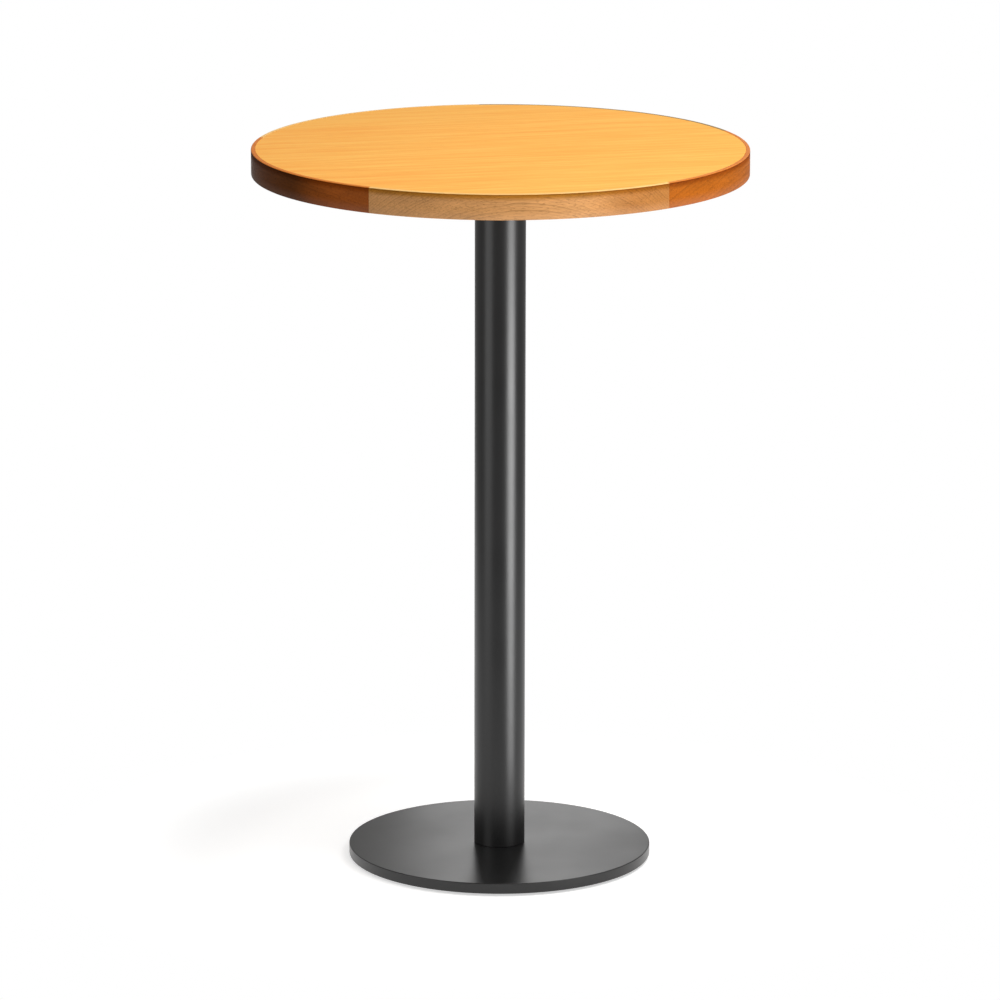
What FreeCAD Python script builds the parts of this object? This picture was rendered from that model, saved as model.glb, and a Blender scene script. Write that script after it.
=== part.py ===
"""A round bar-height restaurant table: a lipped, veneered top on a steel column and a flat round base.

The frame has +Z up and its origin on the floor, under the middle of the column. The front is at -Y.
A tie rod inside the column clamps the spider under the top, the column and the base plate together.
Four levelling glides screw in and out of the base plate.
"""

import FreeCAD, Part
import Sketcher
import math
import os

# Driving dimensions, in millimetres unless the note says degrees.
SIZES = (
    ("overall_height", "1085", "floor to the top surface, with the glides screwed right in"),
    ("top_diameter", "737", "outside of the lipping"),
    ("top_thickness", "38", "veneer, core and backing together"),
    ("face_veneer_thickness", "1", "decorative veneer on the top surface"),
    ("backing_thickness", "1", "balancing veneer on the underside"),
    ("lipping_width", "32", "radial width of the solid wood lipping"),
    ("lipping_border", "6", "width of lipping that shows around the face veneer"),
    ("lipping_arris", "1.5", "radius of the lipping's rounded outer edges"),
    ("lipping_turn", "41.2", "degrees from the front to the first lipping joint on the right"),
    ("border_groove", "0.5", "chamfer on each side of the line where veneer meets border"),
    ("glue_line", "0.1", "radial gap that the glue fills round the core and round the veneer"),
    ("column_diameter", "76", "outside of the column tube"),
    ("column_wall", "2", "wall of the column tube"),
    ("column_chamfer", "0.8", "edge break on the ends of the column tube"),
    ("base_diameter", "454", "outside of the base plate"),
    ("base_thickness", "16", "thickness of the base plate"),
    ("base_chamfer", "1", "edge break on the base plate's rim"),
    ("spigot_clearance", "0.15", "radial clearance of the spigots inside the column"),
    ("seat_height", "14", "height of the locating disc inside the foot of the column"),
    ("seat_chamfer", "1.5", "lead-in on the locating disc and on the spider's spigot"),
    ("seat_screw_circle", "54", "pitch circle of the countersunk screws in the locating disc"),
    ("seat_screw_diameter", "6", "countersunk screw's thread"),
    ("seat_screw_head", "12", "countersunk screw's head"),
    ("seat_screw_length", "22", "countersunk screw's overall length"),
    ("rod_diameter", "10", "tie rod's thread"),
    ("rod_stickout", "1", "thread that stands out of each nut"),
    ("rod_chamfer", "1", "chamfer on the ends of the tie rod"),
    ("nut_flats", "16", "across the flats of the tie rod's nuts"),
    ("nut_thickness", "8.4", "full nut at the spider"),
    ("half_nut_thickness", "5", "thin nut in the base plate's recess"),
    ("washer_diameter", "30", "outside of the tie rod's washers"),
    ("washer_thickness", "2.5", "tie rod's washers"),
    ("socket_room", "4", "radial room round a washer for a socket spanner"),
    ("end_room", "0.5", "how far the rod's ends stay below the recess mouths"),
    ("hole_clearance", "0.25", "radial clearance of bolt and screw holes"),
    ("thread_clearance", "0.05", "radial clearance between a thread and its tapped hole"),
    ("spider_span", "440", "from arm tip to opposite arm tip"),
    ("spider_hub_height", "22", "underside of the top to the end of the column tube"),
    ("spider_spigot_length", "26", "spigot that plugs into the column"),
    ("spider_spigot_wall", "8", "wall of the hollow spigot"),
    ("spider_web", "10", "hub floor that the tie rod pulls on"),
    ("arm_root_width", "56", "arm width where neighbouring arms meet"),
    ("arm_tip_width", "32", "arm width at the tip"),
    ("arm_root_depth", "20", "arm depth beside the hub"),
    ("arm_tip_depth", "9", "arm depth at the tip"),
    ("arm_plate", "5", "thickness of the arm's flat top"),
    ("arm_wall", "5", "thickness of the arm's side flanges"),
    ("arm_corner_radius", "20", "inside corner between two arms"),
    ("arm_tip_radius", "12", "corners of the arm tips"),
    ("hub_rim", "12", "flat round the column before the arms' channels start"),
    ("screw_inner_circle", "210", "pitch circle of the inner wood screws"),
    ("screw_outer_circle", "390", "pitch circle of the outer wood screws"),
    ("screw_diameter", "5", "wood screw's shank"),
    ("screw_length", "28", "wood screw under its head"),
    ("screw_point", "4", "wood screw's tapered point"),
    ("screw_head_diameter", "9.6", "wood screw's pan head"),
    ("screw_head_height", "3.2", "wood screw's pan head"),
    ("glide_circle", "380", "pitch circle of the levelling glides"),
    ("glide_pad_diameter", "32", "nylon pad that stands on the floor"),
    ("glide_pad_thickness", "2.5", "nylon pad"),
    ("glide_pad_chamfer", "1", "bottom edge of the nylon pad"),
    ("glide_boss_diameter", "10", "foot of the stud, moulded into the pad"),
    ("glide_boss_depth", "1.2", "depth of the stud's foot in the pad"),
    ("glide_flats", "13", "across the flats of the stud's hexagon flange"),
    ("glide_flange_thickness", "1.5", "stud's hexagon flange"),
    ("glide_stud_diameter", "8", "stud's thread"),
    ("glide_stud_length", "11", "thread above the flange"),
    ("glide_hole_depth", "12", "tapped blind hole for the stud"),
)

LIPPING_NAMES = ("front", "right", "back_right", "back_left", "left")
LIPPING_ANGLE = 360.0 / len(LIPPING_NAMES)
ARM_COUNT = 4
FIRST_ARM_ANGLE = 45.0
SEAT_SCREW_COUNT = 3
GLIDE_COUNT = 4
FIRST_GLIDE_ANGLE = 45.0
FULL_TURN = 360.0
HEXAGON_SIDES = 6
NUT_CHAMFER_ANGLE = 30.0

START_ID, END_ID, CENTRE_ID = 1, 2, 3
X_AXIS_ID, Y_AXIS_ID, ORIGIN_ID = -1, -2, -1
NEAR = 1e-4

doc = FreeCAD.newDocument("restaurant_table")
sheet = doc.addObject("Spreadsheet::Sheet", "Sizes")
for row, (alias, number, note) in enumerate(SIZES, start=1):
    sheet.set(f"A{row}", alias)
    sheet.set(f"B{row}", number)
    sheet.setAlias(f"B{row}", alias)
    sheet.set(f"C{row}", note)
doc.recompute()

# Places and sizes that follow from the driving dimensions.
TOP_RADIUS = "Sizes.top_diameter / 2"
UNDERSIDE = "(Sizes.overall_height - Sizes.top_thickness)"
CORE_THICKNESS = "(Sizes.top_thickness - Sizes.face_veneer_thickness - Sizes.backing_thickness)"
LIPPING_INSIDE = f"({TOP_RADIUS} - Sizes.lipping_width)"
CORE_RADIUS = f"({LIPPING_INSIDE} - Sizes.glue_line)"
BORDER_INSIDE = f"({TOP_RADIUS} - Sizes.lipping_border)"
VENEER_RADIUS = f"({BORDER_INSIDE} - Sizes.glue_line)"
COLUMN_RADIUS = "(Sizes.column_diameter / 2)"
COLUMN_BORE = f"({COLUMN_RADIUS} - Sizes.column_wall)"
SPIGOT_RADIUS = f"({COLUMN_BORE} - Sizes.spigot_clearance)"
GLIDE_HEIGHT = "(Sizes.glide_pad_thickness + Sizes.glide_flange_thickness)"
BASE_TOP = f"({GLIDE_HEIGHT} + Sizes.base_thickness)"
COLUMN_TOP = f"({UNDERSIDE} - Sizes.spider_hub_height)"
ROD_HOLE = "(Sizes.rod_diameter / 2 + Sizes.hole_clearance)"
NUT_BORE = "(Sizes.rod_diameter / 2 + Sizes.thread_clearance)"
RECESS_RADIUS = "(Sizes.washer_diameter / 2 + Sizes.socket_room)"
UPPER_STACK = "(Sizes.washer_thickness + Sizes.nut_thickness + Sizes.rod_stickout)"
LOWER_STACK = "(Sizes.washer_thickness + Sizes.half_nut_thickness + Sizes.rod_stickout)"
UPPER_RECESS = f"({UPPER_STACK} + Sizes.end_room)"
LOWER_RECESS = f"({LOWER_STACK} + Sizes.end_room)"
ROD_FOOT = f"({GLIDE_HEIGHT} + Sizes.end_room)"
ROD_HEAD = f"({UNDERSIDE} - Sizes.end_room)"
SCREW_HOLE = "(Sizes.screw_diameter / 2 + Sizes.hole_clearance)"
PILOT_HOLE = "(Sizes.screw_diameter / 2 + Sizes.thread_clearance)"
PILOT_DEPTH = "(Sizes.screw_length - Sizes.arm_plate - Sizes.backing_thickness + Sizes.end_room)"
SPIDER_HEIGHT = "(Sizes.spider_hub_height + Sizes.spider_spigot_length)"


def value(expression):
    """The number that an expression has now."""
    return float(sheet.evalExpression(expression))


def new_body(name):
    """An empty body whose label names its file."""
    body = doc.addObject("PartDesign::Body", name)
    body.Label = name
    return body


def place(body, height="0", angle=None, x="0", y="0"):
    """Sets a body's place from expressions, and its turn about the vertical from degrees."""
    for axis, expression in (("x", x), ("y", y), ("z", height)):
        if expression != "0":
            body.setExpression(f"Placement.Base.{axis}", expression)
    if angle is not None:
        body.setExpression("Placement.Rotation.Angle", angle)


def origin_feature(body, role):
    """One of the body's own origin planes or axes."""
    return next(feature for feature in body.Origin.OriginFeatures if feature.Role == role)


def new_sketch(body, name, role="XY_Plane", height="0"):
    """A sketch on one of the body's origin planes, lifted along the plane's normal."""
    sketch = body.newObject("Sketcher::SketchObject", name)
    sketch.AttachmentSupport = [(origin_feature(body, role), "")]
    sketch.MapMode = "FlatFace"
    if height != "0":
        sketch.setExpression("AttachmentOffset.Base.z", height)
    return sketch


def bind(sketch, kind, expression, *where):
    """Adds a dimension that follows an expression."""
    index = sketch.addConstraint(Sketcher.Constraint(kind, *where, value(expression)))
    sketch.setExpression(f"Constraints[{index}]", expression)


def pin_point(sketch, element, point, x, y):
    """Fixes one point of a sketch element at coordinates given as expressions."""
    for kind, expression, axis in (("DistanceX", x, Y_AXIS_ID), ("DistanceY", y, X_AXIS_ID)):
        if expression == "0":
            sketch.addConstraint(Sketcher.Constraint("PointOnObject", element, point, axis))
        else:
            bind(sketch, kind, expression, ORIGIN_ID, START_ID, element, point)


def add_circle(sketch, radius, x="0", y="0"):
    """A circle whose radius and centre are expressions."""
    centre = FreeCAD.Vector(value(x), value(y), 0)
    circle = sketch.addGeometry(Part.Circle(centre, FreeCAD.Vector(0, 0, 1), value(radius)))
    pin_point(sketch, circle, CENTRE_ID, x, y)
    bind(sketch, "Radius", radius, circle)


def add_outline(sketch, corners):
    """A closed outline of straight edges through corners given as pairs of expressions."""
    points = [FreeCAD.Vector(value(x), value(y), 0) for x, y in corners]
    edges = [
        sketch.addGeometry(Part.LineSegment(start, end))
        for start, end in zip(points, points[1:] + points[:1])
    ]
    for edge, following in zip(edges, edges[1:] + edges[:1]):
        sketch.addConstraint(Sketcher.Constraint("Coincident", edge, END_ID, following, START_ID))
    for edge, (x, y) in zip(edges, corners):
        pin_point(sketch, edge, START_ID, x, y)


def add_hexagon(sketch, flats):
    """A regular hexagon with two corners on the sketch's X axis, by its size across the flats."""
    corners = []
    for corner in range(HEXAGON_SIDES):
        angle = corner * FULL_TURN / HEXAGON_SIDES
        x = f"{flats} / sqrt(3) * cos({angle} deg)"
        y = f"{flats} / sqrt(3) * sin({angle} deg)"
        corners.append((x, y if corner % (HEXAGON_SIDES // 2) else "0"))
    add_outline(sketch, corners)


def pad(body, sketch, length):
    """Extrudes a sketch upwards."""
    feature = body.newObject("PartDesign::Pad", f"{sketch.Name}_pad")
    feature.Profile = sketch
    feature.setExpression("Length", length)
    doc.recompute()
    return feature


def revolve(body, sketch, angle=FULL_TURN):
    """Turns a sketch on the XZ plane about the body's vertical axis."""
    feature = body.newObject("PartDesign::Revolution", f"{sketch.Name}_revolution")
    feature.Profile = sketch
    feature.ReferenceAxis = (sketch, ["V_Axis"])
    feature.Angle = angle
    doc.recompute()
    return feature


def must_cut(body, feature, before):
    """Stops the build if a cut took nothing away."""
    doc.recompute()
    if feature.Shape.Volume >= before - NEAR:
        raise RuntimeError(f"{feature.Name} in {body.Label} cuts nothing")
    return feature


def pocket(body, sketch, depth=None, upwards=True):
    """Cuts a sketch into the body, right through it where no depth is given."""
    before = body.Shape.Volume
    feature = body.newObject("PartDesign::Pocket", f"{sketch.Name}_pocket")
    feature.Profile = sketch
    feature.Reversed = upwards
    if depth is None:
        feature.Type = "ThroughAll"
    else:
        feature.setExpression("Length", depth)
    return must_cut(body, feature, before)


def groove(body, sketch):
    """Turns away a sketch on the XZ plane about the body's vertical axis."""
    before = body.Shape.Volume
    feature = body.newObject("PartDesign::Groove", f"{sketch.Name}_groove")
    feature.Profile = sketch
    feature.ReferenceAxis = (sketch, ["V_Axis"])
    feature.Angle = FULL_TURN
    return must_cut(body, feature, before)


def repeat(body, cut, count):
    """Repeats a cut evenly round the body's vertical axis."""
    before = body.Shape.Volume
    feature = body.newObject("PartDesign::PolarPattern", f"{cut.Name}_pattern")
    feature.Originals = [cut]
    feature.Axis = (origin_feature(body, "Z_Axis"), [""])
    feature.Angle = FULL_TURN
    feature.Occurrences = count
    body.Tip = feature
    return must_cut(body, feature, before)


def ring_edges(feature, radius, height):
    """Names of a feature's round edges of one radius about the vertical axis, at one height."""
    names = []
    for index, edge in enumerate(feature.Shape.Edges, start=1):
        curve = edge.Curve
        if not isinstance(curve, Part.Circle):
            continue
        same_radius = abs(curve.Radius - value(radius)) < NEAR
        same_height = abs(curve.Center.z - value(height)) < NEAR
        on_axis = math.hypot(curve.Center.x, curve.Center.y) < NEAR
        if same_radius and same_height and on_axis:
            names.append(f"Edge{index}")
    return names


def upright_edges(feature, distance):
    """Names of a feature's straight vertical edges at one distance from the vertical axis."""
    names = []
    for index, edge in enumerate(feature.Shape.Edges, start=1):
        if not isinstance(edge.Curve, Part.Line):
            continue
        first, last = edge.Vertexes[0].Point, edge.Vertexes[-1].Point
        vertical = math.hypot(first.x - last.x, first.y - last.y) < NEAR
        if vertical and abs(math.hypot(first.x, first.y) - distance) < NEAR:
            names.append(f"Edge{index}")
    return names


def soften(body, feature, kind, edges, size):
    """Adds a Fillet or a Chamfer of one size to named edges."""
    if not edges:
        raise RuntimeError(f"no edge to soften on {feature.Name} in {body.Label}")
    softened = body.newObject(f"PartDesign::{kind}", f"{feature.Name}_{kind.lower()}")
    softened.Base = (feature, edges)
    softened.setExpression("Radius" if kind == "Fillet" else "Size", size)
    doc.recompute()
    return softened


def disc(name, radius, thickness):
    """A body that starts as a plain round disc."""
    body = new_body(name)
    sketch = new_sketch(body, f"{name}_outline")
    add_circle(sketch, radius)
    return body, pad(body, sketch, thickness)


def turned(name, corners, angle=FULL_TURN):
    """A body turned from an outline of radius and height pairs."""
    body = new_body(name)
    sketch = new_sketch(body, f"{name}_profile", "XZ_Plane")
    add_outline(sketch, corners)
    return body, revolve(body, sketch, angle)


def drill(body, name, radius, x, depth=None, height="0", upwards=True):
    """Cuts one round hole whose centre lies on the body's X axis."""
    sketch = new_sketch(body, name, height=height)
    add_circle(sketch, radius, x)
    return pocket(body, sketch, depth, upwards)


def add_screw_holes(body, name, radius, depth=None):
    """Cuts the wood screws' two rings of holes, with one pair along each arm of the spider."""
    for ring in ("inner", "outer"):
        hole = drill(body, f"{name}_{ring}", radius, f"Sizes.screw_{ring}_circle / 2", depth)
        repeat(body, hole, ARM_COUNT)


def make_face_veneer():
    """The decorative veneer, set inside the lipping's border."""
    body, sheet_pad = disc("face_veneer", VENEER_RADIUS, "Sizes.face_veneer_thickness")
    rim = ring_edges(sheet_pad, VENEER_RADIUS, "Sizes.face_veneer_thickness")
    soften(body, sheet_pad, "Chamfer", rim, "Sizes.border_groove")
    place(body, "Sizes.overall_height - Sizes.face_veneer_thickness")
    return body


def make_core_board():
    """The core board, with pilot holes for the wood screws."""
    body, _ = disc("core_board", CORE_RADIUS, CORE_THICKNESS)
    add_screw_holes(body, "pilot", PILOT_HOLE, PILOT_DEPTH)
    place(body, f"{UNDERSIDE} + Sizes.backing_thickness", f"{FIRST_ARM_ANGLE} deg")
    return body


def make_backing_veneer():
    """The balancing veneer under the core, pierced by the wood screws."""
    body, _ = disc("backing_veneer", CORE_RADIUS, "Sizes.backing_thickness")
    add_screw_holes(body, "pierced", PILOT_HOLE)
    place(body, UNDERSIDE, f"{FIRST_ARM_ANGLE} deg")
    return body


def make_lipping(position, name):
    """One curved length of solid wood lipping, rebated for the face veneer."""
    rebate = "(Sizes.top_thickness - Sizes.face_veneer_thickness)"
    body, ring = turned(
        f"lipping_{name}",
        (
            (LIPPING_INSIDE, "0"),
            (TOP_RADIUS, "0"),
            (TOP_RADIUS, "Sizes.top_thickness"),
            (f"{BORDER_INSIDE} + Sizes.border_groove", "Sizes.top_thickness"),
            (BORDER_INSIDE, "Sizes.top_thickness - Sizes.border_groove"),
            (BORDER_INSIDE, rebate),
            (LIPPING_INSIDE, rebate),
        ),
        LIPPING_ANGLE,
    )
    arrises = ring_edges(ring, TOP_RADIUS, "0") + ring_edges(ring, TOP_RADIUS, "Sizes.top_thickness")
    soften(body, ring, "Fillet", arrises, "Sizes.lipping_arris")
    place(body, UNDERSIDE, f"Sizes.lipping_turn * 1 deg + {(position - 1) * LIPPING_ANGLE - 90} deg")
    return body


def arm_half_width(distance):
    """Half the width of a spider arm at a distance from the column's axis, as an expression."""
    root_half = "Sizes.arm_root_width / 2"
    root_distance = f"({root_half} / tan({FULL_TURN / 2 / ARM_COUNT} deg))"
    reach = f"(Sizes.spider_span / 2 - {root_distance})"
    slope = f"((Sizes.arm_root_width - Sizes.arm_tip_width) / 2 / {reach})"
    return f"({root_half} - {slope} * ({distance} - {root_distance}))"


def cut_between_arms(body):
    """Cuts the disc of the spider away between its arms, and rounds the corners that are left."""
    half_gap = FULL_TURN / 2 / ARM_COUNT
    corner_x = f"(Sizes.arm_root_width / 2 / tan({half_gap} deg))"
    corner_y = "Sizes.arm_root_width / 2"
    far_x = "Sizes.spider_span"
    far_y = arm_half_width(far_x)
    turn = f"{2 * half_gap} deg"
    mirrored_x = f"{far_x} * cos({turn}) + {far_y} * sin({turn})"
    mirrored_y = f"{far_x} * sin({turn}) - {far_y} * cos({turn})"
    sketch = new_sketch(body, "gap_between_arms")
    add_outline(
        sketch,
        (
            (corner_x, corner_y),
            (far_x, far_y),
            (far_x, f"{far_x} * tan({half_gap} deg)"),
            (mirrored_x, mirrored_y),
        ),
    )
    gaps = repeat(body, pocket(body, sketch), ARM_COUNT)
    corner_distance = math.hypot(value(corner_x), value(corner_y))
    inside = upright_edges(gaps, corner_distance)
    corners = soften(body, gaps, "Fillet", inside, "Sizes.arm_corner_radius")
    tips = upright_edges(corners, value("Sizes.spider_span / 2"))
    return soften(body, corners, "Fillet", tips, "Sizes.arm_tip_radius")


def cut_arm_channels(body):
    """Hollows the arms from below, which leaves a flat top and two side flanges."""
    start = f"({COLUMN_RADIUS} + Sizes.hub_rim)"
    end = "(Sizes.spider_span / 2 - 2 * Sizes.arm_wall)"
    start_half = f"({arm_half_width(start)} - Sizes.arm_wall)"
    end_half = f"({arm_half_width(end)} - Sizes.arm_wall)"
    sketch = new_sketch(body, "arm_channel")
    add_outline(
        sketch,
        (
            (start, f"-{start_half}"),
            (end, f"-{end_half}"),
            (end, end_half),
            (start, start_half),
        ),
    )
    channel = pocket(body, sketch, f"{SPIDER_HEIGHT} - Sizes.arm_plate")
    return repeat(body, channel, ARM_COUNT)


def make_spider():
    """The four-armed casting that carries the top and plugs into the column."""
    recess_floor = f"({SPIDER_HEIGHT} - {UPPER_RECESS})"
    web_bottom = f"({recess_floor} - Sizes.spider_web)"
    hollow = f"({SPIGOT_RADIUS} - Sizes.spider_spigot_wall)"
    arm_tip = "Sizes.spider_span / 2"
    body, _ = turned(
        "spider",
        (
            (ROD_HOLE, recess_floor),
            (RECESS_RADIUS, recess_floor),
            (RECESS_RADIUS, SPIDER_HEIGHT),
            (arm_tip, SPIDER_HEIGHT),
            (arm_tip, f"{SPIDER_HEIGHT} - Sizes.arm_tip_depth"),
            (COLUMN_RADIUS, f"{SPIDER_HEIGHT} - Sizes.arm_root_depth"),
            (COLUMN_RADIUS, "Sizes.spider_spigot_length"),
            (SPIGOT_RADIUS, "Sizes.spider_spigot_length"),
            (SPIGOT_RADIUS, "Sizes.seat_chamfer"),
            (f"{SPIGOT_RADIUS} - Sizes.seat_chamfer", "0"),
            (hollow, "0"),
            (hollow, web_bottom),
            (ROD_HOLE, web_bottom),
        ),
    )
    cut_between_arms(body)
    cut_arm_channels(body)
    add_screw_holes(body, "arm_hole", SCREW_HOLE)
    place(body, f"{UNDERSIDE} - {SPIDER_HEIGHT}", f"{FIRST_ARM_ANGLE} deg")
    return body


def make_top_screws():
    """Pan-head wood screws that hold the spider to the core board, as one group."""
    shank = "Sizes.screw_diameter / 2"
    head = "Sizes.screw_head_diameter / 2"
    tip = "(Sizes.screw_head_height + Sizes.screw_length)"
    screw, _ = turned(
        "wood_screw",
        (
            ("0", "0"),
            (f"{head} * 0.7", "0"),
            (head, "Sizes.screw_head_height * 0.6"),
            (head, "Sizes.screw_head_height"),
            (shank, "Sizes.screw_head_height"),
            (shank, f"{tip} - Sizes.screw_point"),
            ("0", tip),
        ),
    )
    copies = []
    for arm in range(ARM_COUNT):
        angle = FIRST_ARM_ANGLE + arm * FULL_TURN / ARM_COUNT
        for ring in ("inner", "outer"):
            copy = doc.addObject("App::Link", f"wood_screw_{ring}_{arm + 1}")
            copy.LinkedObject = screw
            radius = f"Sizes.screw_{ring}_circle / 2"
            place(
                copy,
                f"{UNDERSIDE} - Sizes.arm_plate - Sizes.screw_head_height",
                x=f"{radius} * cos({angle} deg)",
                y=f"{radius} * sin({angle} deg)",
            )
            copies.append(copy)
    return group("top_screws", copies)


def group(name, copies):
    """Several separate solids under one name."""
    together = doc.addObject("Part::Compound", name)
    together.Label = name
    together.Links = copies
    doc.recompute()
    return together


def make_column_tube():
    """The column, a plain round tube with both ends chamfered."""
    length = f"({COLUMN_TOP} - {BASE_TOP})"
    body = new_body("column_tube")
    sketch = new_sketch(body, "column_section")
    add_circle(sketch, COLUMN_RADIUS)
    add_circle(sketch, COLUMN_BORE)
    tube = pad(body, sketch, length)
    ends = ring_edges(tube, COLUMN_RADIUS, "0") + ring_edges(tube, COLUMN_RADIUS, length)
    soften(body, tube, "Chamfer", ends, "Sizes.column_chamfer")
    place(body, BASE_TOP)
    return body


def seat_screw_drop():
    """Depth of the countersunk screw's head cone, as an expression."""
    return "((Sizes.seat_screw_head - Sizes.seat_screw_diameter) / 2)"


def make_column_seat():
    """The turned disc on the base plate that centres the foot of the column."""
    body, _ = turned(
        "column_seat",
        (
            (ROD_HOLE, "0"),
            (SPIGOT_RADIUS, "0"),
            (SPIGOT_RADIUS, "Sizes.seat_height - Sizes.seat_chamfer"),
            (f"{SPIGOT_RADIUS} - Sizes.seat_chamfer", "Sizes.seat_height"),
            (ROD_HOLE, "Sizes.seat_height"),
        ),
    )
    circle = "Sizes.seat_screw_circle / 2"
    hole = drill(body, "seat_hole", "Sizes.seat_screw_diameter / 2 + Sizes.hole_clearance", circle)
    repeat(body, hole, SEAT_SCREW_COUNT)
    before = body.Shape.Volume
    cone = body.newObject("PartDesign::SubtractiveCone", "seat_countersink")
    cone.setExpression("Radius1", "Sizes.seat_screw_diameter / 2 + Sizes.hole_clearance")
    cone.setExpression("Radius2", "Sizes.seat_screw_head / 2 + Sizes.hole_clearance")
    cone.setExpression("Height", seat_screw_drop())
    cone.setExpression("Placement.Base.x", circle)
    cone.setExpression("Placement.Base.z", f"Sizes.seat_height - {seat_screw_drop()}")
    must_cut(body, cone, before)
    repeat(body, cone, SEAT_SCREW_COUNT)
    place(body, BASE_TOP)
    return body


def make_seat_screws():
    """Countersunk screws that hold the column seat to the base plate, as one group."""
    shank = "Sizes.seat_screw_diameter / 2"
    head = "Sizes.seat_screw_head / 2"
    screw, _ = turned(
        "countersunk_screw",
        (
            ("0", "0"),
            (f"{shank} - Sizes.rod_chamfer / 2", "0"),
            (shank, "Sizes.rod_chamfer / 2"),
            (shank, f"Sizes.seat_screw_length - {seat_screw_drop()}"),
            (head, "Sizes.seat_screw_length"),
            ("0", "Sizes.seat_screw_length"),
        ),
    )
    copies = []
    for position in range(SEAT_SCREW_COUNT):
        angle = position * FULL_TURN / SEAT_SCREW_COUNT
        copy = doc.addObject("App::Link", f"countersunk_screw_{position + 1}")
        copy.LinkedObject = screw
        place(
            copy,
            f"{BASE_TOP} + Sizes.seat_height - Sizes.seat_screw_length",
            x=f"Sizes.seat_screw_circle / 2 * cos({angle} deg)",
            y=f"Sizes.seat_screw_circle / 2 * sin({angle} deg)",
        )
        copies.append(copy)
    return group("seat_screws", copies)


def make_tie_rod():
    """The threaded rod inside the column."""
    length = f"({ROD_HEAD} - {ROD_FOOT})"
    body, rod = disc("tie_rod", "Sizes.rod_diameter / 2", length)
    radius = "Sizes.rod_diameter / 2"
    ends = ring_edges(rod, radius, "0") + ring_edges(rod, radius, length)
    soften(body, rod, "Chamfer", ends, "Sizes.rod_chamfer")
    place(body, ROD_FOOT)
    return body


def make_nut(name, thickness, height):
    """A hexagon nut with chamfered corners."""
    body = new_body(name)
    sketch = new_sketch(body, f"{name}_section")
    add_hexagon(sketch, "Sizes.nut_flats")
    add_circle(sketch, NUT_BORE)
    pad(body, sketch, thickness)
    corner = "Sizes.nut_flats / sqrt(3)"
    flat = "Sizes.nut_flats / 2"
    drop = f"(({corner} - {flat}) * tan({NUT_CHAMFER_ANGLE} deg))"
    for end, level, inner in (("top", thickness, f"{thickness} - {drop}"), ("bottom", "0", drop)):
        chamfer = new_sketch(body, f"{name}_{end}_chamfer", "XZ_Plane")
        add_outline(chamfer, ((flat, level), (corner, inner), (corner, level)))
        groove(body, chamfer)
    place(body, height)
    return body


def make_washer(name, height):
    """A large flat washer."""
    body = new_body(name)
    sketch = new_sketch(body, f"{name}_section")
    add_circle(sketch, "Sizes.washer_diameter / 2")
    add_circle(sketch, ROD_HOLE)
    pad(body, sketch, "Sizes.washer_thickness")
    place(body, height)
    return body


def make_base_plate():
    """The heavy round plate, recessed below for the tie rod's nut and tapped for the glides."""
    body, plate = disc("base_plate", "Sizes.base_diameter / 2", "Sizes.base_thickness")
    rim = "Sizes.base_diameter / 2"
    edges = ring_edges(plate, rim, "0") + ring_edges(plate, rim, "Sizes.base_thickness")
    soften(body, plate, "Chamfer", edges, "Sizes.base_chamfer")
    drill(body, "rod_hole", ROD_HOLE, "0")
    drill(body, "nut_recess", RECESS_RADIUS, "0", LOWER_RECESS)
    tapped = "Sizes.glide_stud_diameter / 2 + Sizes.thread_clearance"
    glide_angle = f"{FIRST_GLIDE_ANGLE} deg"
    sketch = new_sketch(body, "glide_hole")
    radius = "Sizes.glide_circle / 2"
    add_circle(sketch, tapped, f"{radius} * cos({glide_angle})", f"{radius} * sin({glide_angle})")
    repeat(body, pocket(body, sketch, "Sizes.glide_hole_depth"), GLIDE_COUNT)
    seat_tapped = "Sizes.seat_screw_diameter / 2 + Sizes.thread_clearance"
    seat_depth = "Sizes.seat_screw_length - Sizes.seat_height + Sizes.end_room"
    seat_hole = drill(
        body,
        "seat_tapped_hole",
        seat_tapped,
        "Sizes.seat_screw_circle / 2",
        seat_depth,
        "Sizes.base_thickness",
        upwards=False,
    )
    repeat(body, seat_hole, SEAT_SCREW_COUNT)
    place(body, GLIDE_HEIGHT)
    return body


def place_glide_piece(body, position):
    """Puts a piece of a glide at its place round the base plate."""
    angle = f"{FIRST_GLIDE_ANGLE + position * FULL_TURN / GLIDE_COUNT} deg"
    radius = "Sizes.glide_circle / 2"
    place(body, x=f"{radius} * cos({angle})", y=f"{radius} * sin({angle})")


def make_glide_pad(position):
    """The nylon pad of one levelling glide, moulded round the foot of its stud."""
    rim = "Sizes.glide_pad_diameter / 2"
    socket = "(Sizes.glide_boss_diameter / 2 + Sizes.thread_clearance)"
    socket_floor = "Sizes.glide_pad_thickness - Sizes.glide_boss_depth"
    body, _ = turned(
        f"glide_pad_{position + 1}",
        (
            ("0", "0"),
            (f"{rim} - Sizes.glide_pad_chamfer", "0"),
            (rim, "Sizes.glide_pad_chamfer"),
            (rim, "Sizes.glide_pad_thickness"),
            (socket, "Sizes.glide_pad_thickness"),
            (socket, socket_floor),
            ("0", socket_floor),
        ),
    )
    place_glide_piece(body, position)
    return body


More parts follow.
